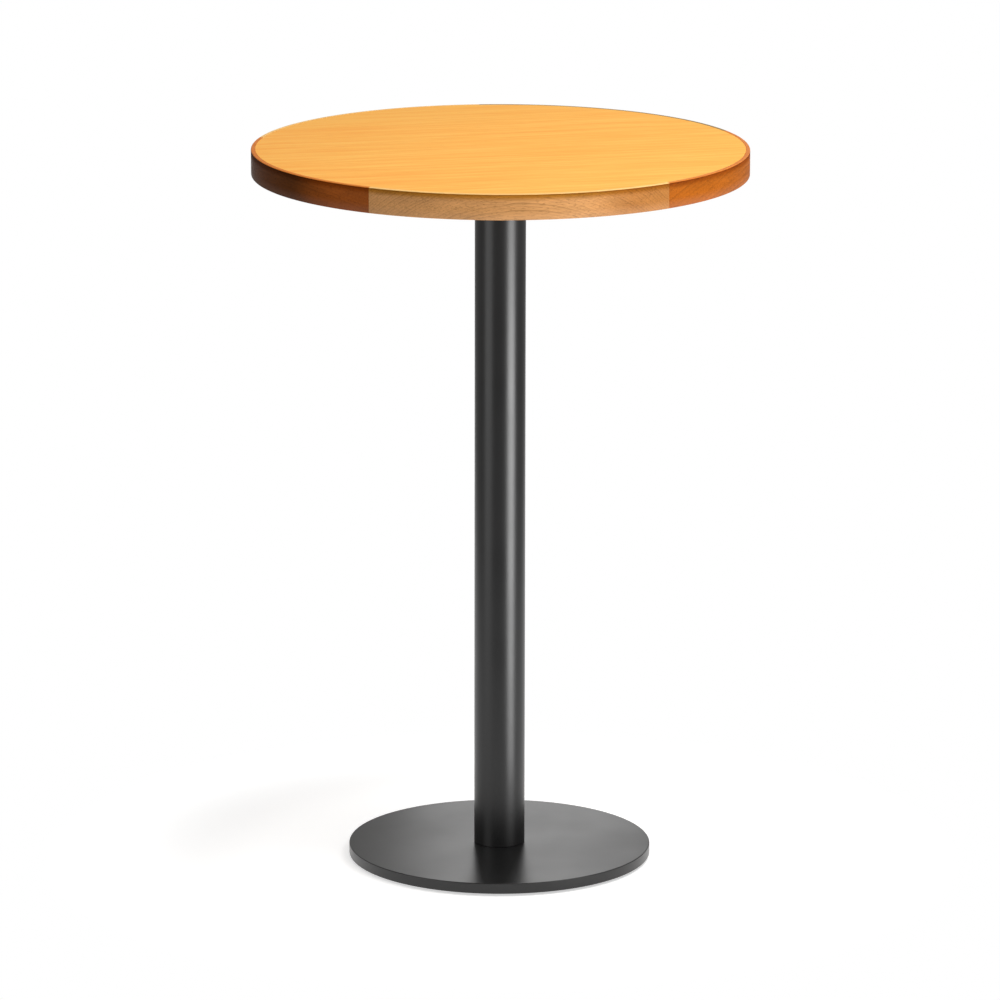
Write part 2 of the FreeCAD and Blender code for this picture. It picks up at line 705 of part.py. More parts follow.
def make_glide_stud(position):
    """The steel stud of one levelling glide, with a hexagon flange for a spanner."""
    name = f"glide_stud_{position + 1}"
    foot = "(Sizes.glide_pad_thickness - Sizes.glide_boss_depth)"
    body = new_body(name)
    levels = (
        ("foot", foot, "Sizes.glide_boss_depth"),
        ("flange", "Sizes.glide_pad_thickness", "Sizes.glide_flange_thickness"),
        ("thread", GLIDE_HEIGHT, "Sizes.glide_stud_length"),
    )
    for part, height, length in levels:
        sketch = new_sketch(body, f"{name}_{part}", height=height)
        if part == "flange":
            add_hexagon(sketch, "Sizes.glide_flats")
        else:
            add_circle(sketch, f"Sizes.glide_{'boss' if part == 'foot' else 'stud'}_diameter / 2")
        stud = pad(body, sketch, length)
    tip = ring_edges(stud, "Sizes.glide_stud_diameter / 2", f"{GLIDE_HEIGHT} + Sizes.glide_stud_length")
    soften(body, stud, "Chamfer", tip, "Sizes.rod_chamfer")
    place_glide_piece(body, position)
    return body


def make_sub_parts():
    """Every separate piece of the table, from the top down to the floor."""
    pieces = [make_face_veneer(), make_core_board(), make_backing_veneer()]
    pieces += [make_lipping(position, name) for position, name in enumerate(LIPPING_NAMES)]
    pieces += [make_spider(), make_top_screws()]
    pieces += [make_column_tube(), make_column_seat(), make_seat_screws(), make_tie_rod()]
    upper_washer = f"{UNDERSIDE} - {UPPER_RECESS}"
    upper_nut = f"{upper_washer} + Sizes.washer_thickness"
    lower_nut = f"{ROD_FOOT} + Sizes.rod_stickout"
    lower_washer = f"{lower_nut} + Sizes.half_nut_thickness"
    pieces += [make_washer("upper_washer", upper_washer)]
    pieces += [make_nut("upper_nut", "Sizes.nut_thickness", upper_nut)]
    pieces += [make_nut("lower_nut", "Sizes.half_nut_thickness", lower_nut)]
    pieces += [make_washer("lower_washer", lower_washer)]
    pieces += [make_base_plate()]
    for position in range(GLIDE_COUNT):
        pieces += [make_glide_pad(position), make_glide_stud(position)]
    return pieces


def check_and_write(pieces):
    """Stops the build at a failed object or a bad solid, and otherwise writes one file per piece."""
    doc.recompute()
    failed = [item.Label for item in doc.Objects if {"Invalid", "Error"} & set(item.State)]
    if failed:
        raise RuntimeError(f"failed objects: {failed}")
    for piece in pieces:
        if piece.Shape.isNull() or not piece.Shape.isValid() or not piece.Shape.Solids:
            raise RuntimeError(f"{piece.Label} has no valid solid")
    os.makedirs("parts", exist_ok=True)
    for piece in pieces:
        piece.Shape.exportStep(os.path.join("parts", f"{piece.Label}.step"))


check_and_write(make_sub_parts())
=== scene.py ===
"""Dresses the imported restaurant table: lacquered wood, coated steel, fasteners, floor, light and camera."""

import math

import bmesh
import bpy
from bpy.props import FloatProperty, FloatVectorProperty, PointerProperty
from mathutils import Matrix, Vector


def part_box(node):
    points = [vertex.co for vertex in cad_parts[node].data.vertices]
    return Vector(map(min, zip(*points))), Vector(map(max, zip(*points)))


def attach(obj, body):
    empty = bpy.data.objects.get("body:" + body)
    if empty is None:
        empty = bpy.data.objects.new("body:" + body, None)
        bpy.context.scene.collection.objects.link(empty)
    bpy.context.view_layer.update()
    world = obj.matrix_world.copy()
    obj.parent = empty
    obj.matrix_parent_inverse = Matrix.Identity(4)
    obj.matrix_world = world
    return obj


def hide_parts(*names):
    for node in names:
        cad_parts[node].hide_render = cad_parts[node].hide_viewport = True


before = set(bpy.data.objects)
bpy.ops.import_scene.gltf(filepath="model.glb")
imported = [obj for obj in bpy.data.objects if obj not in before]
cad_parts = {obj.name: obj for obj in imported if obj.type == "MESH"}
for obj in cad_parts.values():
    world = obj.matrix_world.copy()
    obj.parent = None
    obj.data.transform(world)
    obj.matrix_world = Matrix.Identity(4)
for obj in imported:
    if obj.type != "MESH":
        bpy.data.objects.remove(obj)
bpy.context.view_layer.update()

bl_info = {
    "name": "Restaurant Table",
    "version": (1, 0, 0),
    "blender": (4, 5, 0),
    "location": "View3D > Sidebar > Table",
    "description": "Models and finishes the pieces of a round bar-height pedestal table",
    "category": "Object",
}

FULL_TURN = 2 * math.pi
SMOOTH_ANGLE = math.radians(32)
MERGE_DISTANCE = 1e-6
NEAR = 2e-5
PLACE_TOLERANCE = 0.0004
# Depth of a machine thread and the flat at its root, as shares of the pitch.
THREAD_DEPTH, THREAD_ROOT = 0.613, 0.25

LIPPING_NAMES = ("front", "right", "back_right", "back_left", "left")
LIPPING_ANGLE = FULL_TURN / len(LIPPING_NAMES)
GLIDE_NUMBERS = (1, 2, 3, 4)
ARM_ANGLES = tuple(math.radians(degrees) for degrees in (45, 135, 225, 315))


def node_reach(node):
    """How far a CAD node reaches from the column's axis."""
    return max(math.hypot(vert.co.x, vert.co.y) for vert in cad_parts[node].data.vertices)


def node_width(node):
    """Half the width of a CAD node about its own middle."""
    low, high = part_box(node)
    return (high.x - low.x) / 2


def node_levels(node):
    """Lowest and highest level of a CAD node."""
    low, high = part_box(node)
    return low.z, high.z


def length(name, description, default):
    """A size that a user may change."""
    return FloatProperty(
        name=name, description=description, default=default, min=0.0, unit="LENGTH", subtype="DISTANCE"
    )


def colour(name, description, default):
    """A colour that a user may change."""
    return FloatVectorProperty(
        name=name, description=description, default=default, min=0.0, max=1.0, size=3, subtype="COLOR"
    )


class TableSizes(bpy.types.PropertyGroup):
    """Sizes of the modelled pieces."""

    top_radius: length("Top radius", "Outside of the lipping", node_reach("lipping_front"))
    lipping_width: length("Lipping width", "Radial width of the solid wood lipping", 0.032)
    border_width: length("Border", "Lipping that shows round the veneer", 0.006)
    border_groove: length("Border groove", "Chamfer on each side of the border's inner line", 0.0005)
    lipping_arris: length("Lipping arris", "Radius of the lipping's rounded edges", 0.0015)
    joint_chamfer: length("Joint chamfer", "Edge break where two lengths of lipping meet", 0.00015)
    first_joint: FloatProperty(
        name="First joint",
        description="Turn from the front to the first lipping joint on the right",
        default=math.radians(41.2),
        unit="ROTATION",
        subtype="ANGLE",
    )
    column_radius: length("Column radius", "Outside of the column", node_reach("column_tube"))
    column_wall: length("Column wall", "Wall of the column", 0.002)
    column_edge: length("Column edge", "Edge break on the column's ends", 0.0008)
    base_radius: length("Base radius", "Outside of the base plate", node_reach("base_plate"))
    base_edge: length("Base edge", "Radius of the base plate's rim", 0.0012)
    recess_radius: length("Recess radius", "Recess for the tie rod's nut under the base plate", 0.019)
    casting_edge: length("Casting edge", "Radius of the spider's cast edges", 0.0012)
    rod_radius: length("Rod radius", "Outside of the tie rod's thread", node_reach("tie_rod"))
    rod_pitch: length("Rod pitch", "Pitch of the tie rod's thread", 0.0015)
    rod_thread: length("Rod thread", "Threaded length at each end of the tie rod", 0.045)
    nut_flats: length("Nut flats", "Across the flats of the tie rod's nuts", 0.016)
    stud_radius: length("Stud radius", "Outside of a glide's thread", 0.004)
    stud_pitch: length("Stud pitch", "Pitch of a glide's thread", 0.00125)
    stud_flats: length("Stud flats", "Across the flats of a glide's flange", 0.013)
    screw_radius: length("Screw radius", "Outside of a wood screw's thread", 0.0025)
    screw_pitch: length("Screw pitch", "Pitch of a wood screw's thread", 0.0024)
    screw_head: length("Screw head", "Radius of a wood screw's pan head", 0.0048)


class TableColours(bpy.types.PropertyGroup):
    """Colours of the finishes, in linear light."""

    veneer: colour("Veneer", "Face veneer between the grain", (0.95, 0.500, 0.084))
    veneer_grain: colour("Veneer grain", "Darker grain of the face veneer", (0.865, 0.335, 0.039))
    lipping_front: colour("Front lipping", "Wood of the front length", (0.60, 0.295, 0.106))
    lipping_right: colour("Right lipping", "Wood of the right length", (0.365, 0.096, 0.007))
    lipping_back_right: colour("Back right lipping", "Wood of the back right length", (0.30, 0.17, 0.085))
    lipping_back_left: colour("Back left lipping", "Wood of the back left length", (0.62, 0.30, 0.105))
    lipping_left: colour("Left lipping", "Wood of the left length", (0.096, 0.028, 0.0055))
    border_red: colour("Red border", "Lacquered top of the right and left lengths", (0.64, 0.195, 0.031))
    # Pale border: partly the wood's colour, partly a painted highlight of the rounded edge catching the
    # light.
    border_pale_and_highlight: colour("Pale border", "Lacquered top of the front and back left lengths", (0.90, 0.55, 0.19))
    border_dark: colour("Dark border", "Lacquered top of the back right length", (0.30, 0.19, 0.06))
    backing: colour("Backing", "Balancing veneer under the top", (0.36, 0.175, 0.070))
    board: colour("Board", "Core board", (0.45, 0.30, 0.155))
    black_coat: colour("Black coat", "Powder coat of spider, column and base", (0.0055, 0.0055, 0.0058))
    black_oxide: colour("Black oxide", "Wood screws", (0.035, 0.035, 0.037))
    zinc: colour("Zinc", "Plated rod, nuts, washers and studs", (0.60, 0.60, 0.57))
    turned_steel: colour("Turned steel", "Bare turned column seat", (0.46, 0.46, 0.46))
    nylon: colour("Nylon", "Pads of the glides", (0.018, 0.018, 0.019))


# Selecting and shaping


def clear_selection():
    """Leaves edit mode and selects nothing."""
    if bpy.context.mode != "OBJECT":
        bpy.ops.object.mode_set(mode="OBJECT")
    bpy.ops.object.select_all(action="DESELECT")


def pick(piece):
    """Makes one piece the only selected and active object."""
    clear_selection()
    piece.select_set(True)
    bpy.context.view_layer.objects.active = piece


def open_mesh(piece):
    """Goes into edit mode on one piece, with all of its vertices selected."""
    pick(piece)
    bpy.ops.object.mode_set(mode="EDIT")
    bpy.ops.mesh.select_mode(type="VERT")
    bpy.ops.mesh.select_all(action="SELECT")


def close_mesh():
    """Goes back to object mode."""
    bpy.ops.object.mode_set(mode="OBJECT")


def new_piece(name):
    """Names the object that the last operator added."""
    piece = bpy.context.object
    piece.name = name
    piece.data.name = name
    return piece


def open_primitive(name, add, **settings):
    """Adds a primitive with nothing else selected, and opens its mesh."""
    clear_selection()
    add(**settings)
    piece = new_piece(name)
    open_mesh(piece)
    return piece


def select_parts(piece, kind, test):
    """Selects the vertices, edges or faces of the open mesh that pass a test, and returns how many."""
    bpy.ops.mesh.select_mode(type={"verts": "VERT", "edges": "EDGE", "faces": "FACE"}[kind])
    bpy.ops.mesh.select_all(action="DESELECT")
    mesh = bmesh.from_edit_mesh(piece.data)
    found = [part for part in getattr(mesh, kind) if test(part)]
    for part in found:
        part.select_set(True)
    mesh.select_flush_mode()
    bmesh.update_edit_mesh(piece.data)
    return len(found)


def edge_middle(edge):
    """Middle of an edge."""
    return (edge.verts[0].co + edge.verts[1].co) / 2


def upright_points(corners, angle):
    """Points of an upright plane through the column's axis, from their radius and height."""
    across, up = Vector((math.cos(angle), math.sin(angle), 0)), Vector((0, 0, 1))
    return [across * radius + up * height for radius, height in corners]


def draw_outline(name, corners, angle=0.0):
    """Draws a flat face in an upright plane, by extruding one vertex round its corners."""
    points = upright_points(corners, angle)
    piece = open_primitive(name, bpy.ops.mesh.primitive_plane_add, size=0.01)
    bpy.ops.mesh.merge(type="CENTER")
    bpy.ops.transform.translate(value=points[0])
    for last, point in zip(points, points[1:]):
        bpy.ops.mesh.extrude_vertices_move(TRANSFORM_OT_translate={"value": point - last})
    bpy.ops.mesh.select_all(action="SELECT")
    bpy.ops.mesh.edge_face_add()
    return piece


def round_corners(piece, corners, radius, segments, angle=0.0):
    """Rounds corners of the drawn outline."""
    places = upright_points(corners, angle)
    count = select_parts(
        piece, "verts", lambda vert: any((vert.co - place).length < NEAR for place in places)
    )
    if count != len(places):
        raise RuntimeError(f"{piece.name}: {count} of {len(places)} corners were found")
    bpy.ops.mesh.bevel(offset=radius, segments=segments, profile=0.5, affect="VERTICES", clamp_overlap=False)


def mend_mesh():
    """Merges doubled vertices and turns all faces outwards."""
    bpy.ops.mesh.select_all(action="SELECT")
    bpy.ops.mesh.remove_doubles(threshold=MERGE_DISTANCE)
    bpy.ops.mesh.normals_make_consistent(inside=False)


def raise_face(low, high):
    """Moves the selected face to one level and extrudes it to another."""
    bpy.ops.transform.translate(value=(0, 0, low))
    bpy.ops.mesh.extrude_region_move(TRANSFORM_OT_translate={"value": (0, 0, high - low)})
    mend_mesh()


def bar_section(radius, low, high):
    """Half the section of a round bar."""
    return (0, low), (radius, low), (radius, high), (0, high)


def turn_outline(steps):
    """Spins the open outline once round the column's axis into a closed solid."""
    bpy.ops.mesh.select_all(action="SELECT")
    bpy.ops.mesh.delete(type="ONLY_FACE")
    bpy.ops.mesh.select_all(action="SELECT")
    bpy.ops.mesh.spin(steps=steps, angle=FULL_TURN, center=(0, 0, 0), axis=(0, 0, 1))
    mend_mesh()
    bpy.ops.mesh.dissolve_degenerate(threshold=MERGE_DISTANCE)
    bpy.ops.mesh.delete_loose()
    close_mesh()


def turned_piece(name, corners, steps, rounded=(), radius=0.0, segments=3):
    """A piece of revolution from its outline, with some of the corners rounded."""
    piece = draw_outline(name, corners)
    if rounded:
        round_corners(piece, rounded, radius, segments)
    turn_outline(steps)
    return piece


def combine(piece, other, operation):
    """Cuts, joins or trims a piece with another, which is used up."""
    pick(piece)
    modifier = piece.modifiers.new(operation.lower(), "BOOLEAN")
    modifier.operation = operation
    modifier.solver = "EXACT"
    modifier.object = other
    bpy.ops.object.modifier_apply(modifier=modifier.name)
    bpy.data.objects.remove(other, do_unlink=True)
    open_mesh(piece)
    mend_mesh()
    close_mesh()


def move_mesh(piece, offset, turn=0.0):
    """Turns a piece's mesh about the upright axis and moves it, with its object left at the origin."""
    open_mesh(piece)
    if turn:
        bpy.ops.transform.rotate(value=turn, orient_axis="Z", center_override=(0, 0, 0))
    bpy.ops.transform.translate(value=offset)
    close_mesh()


def copied(piece, name):
    """A copy of a piece with its own mesh."""
    pick(piece)
    bpy.ops.object.duplicate(linked=False)
    return new_piece(name)


def joined(pieces):
    """Several pieces as one object."""
    pick(pieces[0])
    for piece in pieces[1:]:
        piece.select_set(True)
    bpy.ops.object.join()
    return pieces[0]


def hexagon_bar(name, flats, low, high):
    """A hexagon bar with two of its corners along X."""
    corner = flats / math.sqrt(3)
    circle = bpy.ops.mesh.primitive_circle_add
    piece = open_primitive(name, circle, vertices=6, radius=corner, fill_type="NGON")
    bpy.ops.transform.rotate(value=math.radians(30), orient_axis="Z", center_override=(0, 0, 0))
    raise_face(low, high)
    close_mesh()
    return piece


def thread_bar(name, radius, pitch, low, high, depth, root, chamfer, steps=24):
    """A helical thread between two levels, trimmed to chamfered ends."""
    core, flat = radius - depth, root * pitch
    flank = (pitch - flat - pitch / 8) / 2
    start = low - 2 * pitch
    profile = ((core, 0), (core, flat), (radius, flat + flank), (radius, pitch - flank), (core, pitch))
    piece = draw_outline(name, [(distance, start + height) for distance, height in profile])
    bpy.ops.mesh.select_all(action="SELECT")
    bpy.ops.mesh.delete(type="ONLY_FACE")
    closing = select_parts(
        piece, "edges", lambda edge: abs(edge.verts[0].co.z - edge.verts[1].co.z) > pitch - NEAR
    )
    if closing != 1:
        raise RuntimeError(f"{name}: the thread's closing edge wasn't found")
    bpy.ops.mesh.delete(type="EDGE")
    close_mesh()
    turns = math.ceil((high - low) / pitch) + 4
    screw = piece.modifiers.new("turns", "SCREW")
    screw.angle = FULL_TURN
    screw.screw_offset = pitch
    screw.iterations = turns
    screw.steps = steps
    screw.render_steps = steps
    screw.use_merge_vertices = True
    screw.merge_threshold = MERGE_DISTANCE
    pick(piece)
    bpy.ops.object.modifier_apply(modifier=screw.name)
    open_mesh(piece)
    bpy.ops.mesh.remove_doubles(threshold=MERGE_DISTANCE)
    middle = (low + high) / 2
    for side in (-1, 1):
        select_parts(
            piece, "edges", lambda edge: edge.is_boundary and (edge_middle(edge).z - middle) * side > 0
        )
        bpy.ops.mesh.edge_face_add()
        bpy.ops.mesh.quads_convert_to_tris()
    mend_mesh()
    close_mesh()
    blank = ((0, low), (radius - chamfer, low), (radius + NEAR, low + chamfer))
    blank += ((radius + NEAR, high - chamfer), (radius - chamfer, high), (0, high))
    combine(piece, turned_piece(f"{name}_blank", blank, 48), "INTERSECT")
    return piece


# Node recipes


class Recipe:
    """A node material, built up node by node round its shader."""

    def __init__(self, name):
        self.material = bpy.data.materials.new(name)
        self.material.use_nodes = True
        self.tree = self.material.node_tree
        self.shader = self.tree.nodes["Principled BSDF"]

    def feed(self, socket, value):
        """Links an output to a socket, or sets the socket's own value."""
        if isinstance(value, bpy.types.NodeSocket):
            self.tree.links.new(value, socket)
        elif socket.type == "RGBA" and len(value) == 3:
            socket.default_value = (*value, 1.0)
        else:
            socket.default_value = value

    def node(self, kind, inputs, **settings):
        """Adds a node, with its settings and its inputs by name or number."""
        made = self.tree.nodes.new(kind)
        for name, value in settings.items():
            setattr(made, name, value)
        for socket, value in inputs.items():
            self.feed(made.inputs[socket], value)
        return made

    def finish(self, **values):
        """Sets or links the shader's sockets, named with underscores for spaces."""
        for name, value in values.items():
            self.feed(self.shader.inputs[name.replace("_", " ")], value)
        return self.material

    def place(self):
        """Object coordinates, in metres in the table's frame."""
        return self.node("ShaderNodeTexCoord", {}).outputs["Object"]

    def mapped(self, vector, scale=(1, 1, 1), turn=0.0):
        """Coordinates turned about the upright axis, then stretched."""
        turned = vector
        if turn:
            inputs = {"Vector": vector, "Rotation": (0, 0, turn)}
            turned = self.node("ShaderNodeMapping", inputs).outputs["Vector"]
        return self.node("ShaderNodeMapping", {"Vector": turned, "Scale": scale}).outputs["Vector"]

    def noise(self, vector, scale=1.0, detail=2.0, roughness=0.5, distortion=0.0):
        """Cloudy noise from 0 to 1, finer by a number or by a stretch along each axis."""
        inputs = {"Detail": detail, "Roughness": roughness, "Distortion": distortion}
        if isinstance(scale, tuple):
            inputs.update({"Vector": self.mapped(vector, scale), "Scale": 1.0})
        else:
            inputs.update({"Vector": vector, "Scale": scale})
        return self.node("ShaderNodeTexNoise", inputs).outputs["Fac"]

    def step(self, operation, first, second=0.0):
        """One arithmetic step on numbers."""
        return self.node("ShaderNodeMath", {0: first, 1: second}, operation=operation).outputs["Value"]

    def times(self, first, second):
        """Product of two numbers."""
        return self.step("MULTIPLY", first, second)

    def plus(self, first, second):
        """Sum of two numbers."""
        return self.step("ADD", first, second)

    def minus(self, first, second):
        """Difference of two numbers."""
        return self.step("SUBTRACT", first, second)

    def length(self, vector):
        """Length of a vector."""
        return self.node("ShaderNodeVectorMath", {0: vector}, operation="LENGTH").outputs["Value"]

    def spread(self, value, low, high, to_low=0.0, to_high=1.0):
        """Maps a range of numbers smoothly onto another, and keeps inside it."""
        inputs = {"Value": value, "From Min": low, "From Max": high, "To Min": to_low, "To Max": to_high}
        made = self.node("ShaderNodeMapRange", inputs, interpolation_type="SMOOTHSTEP")
        return made.outputs["Result"]

    def ramp(self, value, stops):
        """A curve of greys over 0 to 1."""
        made = self.node("ShaderNodeValToRGB", {"Fac": value})
        band = made.color_ramp
        while len(band.elements) < len(stops):
            band.elements.new(0.5)
        for element, (position, shade) in zip(band.elements, stops):
            element.position = position
            element.color = (shade, shade, shade, 1.0)
        return made.outputs["Color"]

    def mix(self, share, first, second, blend="MIX"):
        """Two colours mixed by a share."""
        made = self.node("ShaderNodeMix", {0: share, 6: first, 7: second}, data_type="RGBA", blend_type=blend)
        return made.outputs[2]

    def bump(self, height, distance, strength):
        """A surface relief of so many metres."""
        inputs = {"Height": height, "Distance": distance, "Strength": strength}
        return self.node("ShaderNodeBump", inputs).outputs["Normal"]

    def clouded(self, cloud, tone, share):
        """A colour that drifts to a darker or lighter version of itself."""
        return self.mix(self.spread(cloud, 0.3, 0.7), tone, shade_of(tone, share))

    def gloss(self, cloud, grit, low, high):
        """A roughness that varies with a cloudy and a fine pattern."""
        return self.spread(self.plus(self.times(cloud, 0.6), self.times(grit, 0.4)), 0.3, 0.7, low, high)


def shade_of(tone, share):
    """A darker or lighter version of a colour."""
    return tuple(min(1.0, channel * share) for channel in tone)


# Turn that brings the veneers' grain along X.
LEAF_TURN = math.radians(-14)


def face_veneer_finish(colours):
    """Straight-grained orange veneer under satin lacquer."""
    recipe = Recipe("face_veneer_lacquer")
    leaf = recipe.mapped(recipe.place(), turn=LEAF_TURN)
    drift = recipe.noise(leaf, (1.6, 5.0, 1.0))
    bands = recipe.noise(leaf, (1.5, 58.0, 1.0), detail=5.0, roughness=0.62, distortion=0.15)
    streaks = recipe.noise(leaf, (7.0, 210.0, 1.0), detail=3.0, roughness=0.55)
    fibres = recipe.noise(leaf, (12.0, 700.0, 1.0))
    pores = recipe.spread(recipe.noise(leaf, (42.0, 1300.0, 1.0), detail=1.0), 0.60, 0.72)
    grain = recipe.times(recipe.spread(bands, 0.32, 0.72), 0.50)
    grain = recipe.plus(grain, recipe.times(recipe.spread(streaks, 0.36, 0.70), 0.56))
    grain = recipe.plus(grain, recipe.times(recipe.spread(fibres, 0.35, 0.70), 0.30))
    tone = recipe.mix(grain, colours.veneer, colours.veneer_grain)
    tone = recipe.mix(recipe.spread(drift, 0.3, 0.75, 0.0, 0.35), tone, shade_of(colours.veneer, 0.93))
    tone = recipe.mix(recipe.times(pores, 0.30), tone, shade_of(colours.veneer_grain, 0.62))
    relief = recipe.minus(recipe.times(fibres, 0.4), pores)
    sheen = recipe.spread(grain, 0.1, 0.8, 0.44, 0.52)
    normal = recipe.bump(relief, 0.00003, 0.5)
    return recipe.finish(Base_Color=tone, Roughness=sheen, Specular_IOR_Level=0.35, Normal=normal)


# Painted shade under the lipping's rounded top edge: the share of the wood's colour that it lets through.
EDGE_SHADE_TONE = (0.66, 0.52, 0.14)
# Depths below the top at which the painted shade under the edge, its darker painted line of shade and the
# rounded edge begin and end.
EDGE_SHADE, CREASE_SHADE, ROUNDING = (0.012, 0.0035), (0.0034, 0.0020), (0.0014, 0.0004)
# Height of the painted reflection that lightens and greys the foot of the lipping, and where along a length
# the tint of its end begins and is full; on the left length that tint is a painted reflection.
FOOT_REFLECTION, END_TONE_AND_REFLECTION = 0.016, (0.07, 0.17)
BORDER_ROUGHNESS = 0.1


def lipping_finish(name, tone, middle, levels, border, slope, spacing, lacquer, index, contrast, end):
    """Solid wood with flat growth rings that the curved edge cuts into arches, under lacquer, with painted
    shade under the top edge and a painted reflection that lightens the foot.
    """
    recipe = Recipe(f"lipping_{name}_lacquer")
    low, high = levels
    stock = recipe.mapped(recipe.place(), turn=-middle)
    across = Vector((-slope, 0, 1)).normalized()
    depth = recipe.node("ShaderNodeVectorMath", {0: stock, 1: across}, operation="DOT_PRODUCT")
    wander = recipe.noise(stock, (22.0, 7.0, 22.0), detail=3.0, roughness=0.6)
    years = recipe.plus(depth.outputs["Value"], recipe.times(wander, 0.0085))
    years = recipe.step("DIVIDE", years, spacing)
    phase, year = recipe.step("FRACT", years), recipe.step("FLOOR", years)
    ring = recipe.ramp(phase, ((0.0, 0.0), (0.55, 0.35), (0.86, 1.0), (1.0, 0.05)))
    vigour = recipe.node("ShaderNodeTexWhiteNoise", {"W": year}, noise_dimensions="1D").outputs["Value"]
    ring = recipe.times(ring, recipe.spread(vigour, 0.0, 1.0, 0.35, 1.0))
    fibres = recipe.noise(stock, (520.0, 15.0, 520.0), detail=3.0, roughness=0.6)
    figure = recipe.noise(stock, (30.0, 9.0, 60.0), detail=3.0, roughness=0.6, distortion=0.6)
    pores = recipe.spread(recipe.noise(stock, (1000.0, 130.0, 1000.0), detail=1.0), 0.57, 0.70)
    grain = recipe.times(ring, 0.55 * contrast)
    grain = recipe.plus(grain, recipe.times(recipe.spread(fibres, 0.3, 0.72), 0.35 * contrast))
    grain = recipe.plus(grain, recipe.spread(figure, 0.35, 0.75, 0.0, 0.32))
    wood = recipe.mix(grain, tone, shade_of(tone, 0.52))
    wood = recipe.mix(recipe.times(pores, 0.5), wood, shade_of(tone, 0.30))
    split = recipe.node("ShaderNodeSeparateXYZ", {0: stock}).outputs
    height = split["Z"]
    # Tint towards the counter-clockwise end: a painted reflection by the joint on the left length, darker
    # wood towards the end of the front length.
    wood = recipe.mix(recipe.spread(split["Y"], *END_TONE_AND_REFLECTION), wood, end, "MULTIPLY")
    # Painted reflection: lighter and greyer towards the foot of the face.
    foot_reflection = recipe.spread(height, low + FOOT_REFLECTION, low, 0.0, 0.2)
    wood = recipe.mix(foot_reflection, wood, tuple(0.6 * channel + 0.12 for channel in tone))
    # Painted shade: darker and more golden under the top edge, with a darker painted line just below it where
    # the rounding turns away from the light; this band is also rougher.
    edge_shade = recipe.spread(height, *(high - below for below in EDGE_SHADE))
    wood = recipe.mix(edge_shade, wood, EDGE_SHADE_TONE, "MULTIPLY")
    crease_shade = recipe.spread(height, *(high - below for below in CREASE_SHADE), 0.0, 0.8)
    wood = recipe.mix(crease_shade, wood, EDGE_SHADE_TONE, "MULTIPLY")
    on_top = recipe.spread(height, *(high - below for below in ROUNDING))
    topping = recipe.mix(recipe.spread(fibres, 0.3, 0.7, 0.0, 0.5), border, shade_of(border, 0.7))
    wood = recipe.mix(on_top, wood, topping)
    gloss = recipe.spread(fibres, 0.3, 0.7, lacquer - 0.03, lacquer + 0.05)
    gloss = recipe.plus(gloss, recipe.times(edge_shade, 0.2))
    gloss = recipe.plus(gloss, recipe.spread(on_top, 0.0, 1.0, 0.0, BORDER_ROUGHNESS - lacquer))
    normal = recipe.bump(recipe.minus(fibres, pores), 0.00004, 0.45)
    return recipe.finish(Base_Color=wood, Roughness=gloss, IOR=index, Normal=normal)


def powder_coat_finish(colours):
    """Satin black powder coat with a faint orange-peel skin."""
    recipe = Recipe("satin_black_powder_coat")
    place = recipe.place()
    peel = recipe.noise(place, 620.0)
    grit = recipe.noise(place, 2600.0, detail=1.0)
    cloud = recipe.noise(place, 9.0, detail=3.0)
    tone = recipe.clouded(cloud, colours.black_coat, 1.35)
    gloss = recipe.gloss(cloud, grit, 0.29, 0.35)
    normal = recipe.bump(peel, 0.000025, 0.35)
    return recipe.finish(Base_Color=tone, Roughness=gloss, IOR=1.52, Normal=normal)


def plated_finish(name, tone, low, high, scale):
    """Plated or oxidised metal, cloudy and lightly scuffed."""
    recipe = Recipe(name)
    place = recipe.place()
    cloud = recipe.noise(place, scale, detail=4.0, roughness=0.6)
    scuff = recipe.noise(place, (300.0, 300.0, 2400.0))
    shade = recipe.clouded(cloud, tone, 0.78)
    gloss = recipe.gloss(cloud, scuff, low, high)
    normal = recipe.bump(scuff, 0.00001, 0.3)
    return recipe.finish(Base_Color=shade, Metallic=1.0, Roughness=gloss, Normal=normal)


# Radians of the lathe tool's ridges to a metre.
TOOL_RIDGES = 16000.0


def turned_finish(colours):
    """Bare steel with the fine rings of a lathe tool."""
    recipe = Recipe("turned_steel")
    place = recipe.place()
    split = recipe.node("ShaderNodeSeparateXYZ", {0: place}).outputs
    flat = recipe.node("ShaderNodeCombineXYZ", {0: split["X"], 1: split["Y"]}).outputs["Vector"]
    turns = recipe.times(recipe.length(flat), TOOL_RIDGES)
    ridge = recipe.step("SINE", recipe.plus(turns, recipe.times(split["Z"], TOOL_RIDGES)))
    shade = recipe.clouded(recipe.noise(place, 160.0, detail=3.0), colours.turned_steel, 0.8)
    gloss = recipe.spread(ridge, -1.0, 1.0, 0.24, 0.36)
    normal = recipe.bump(ridge, 0.000012, 0.5)
    return recipe.finish(Base_Color=shade, Metallic=1.0, Roughness=gloss, Normal=normal)


def nylon_finish(colours):
    """Moulded black nylon with a fine spark-eroded grain."""
    recipe = Recipe("black_nylon")
    place = recipe.place()
    grain = recipe.noise(place, 1800.0)
    cloud = recipe.noise(place, 60.0, detail=3.0)
    tone = recipe.clouded(cloud, colours.nylon, 1.5)
    gloss = recipe.spread(cloud, 0.3, 0.7, 0.5, 0.62)
    return recipe.finish(Base_Color=tone, Roughness=gloss, Normal=recipe.bump(grain, 0.00004, 0.4))


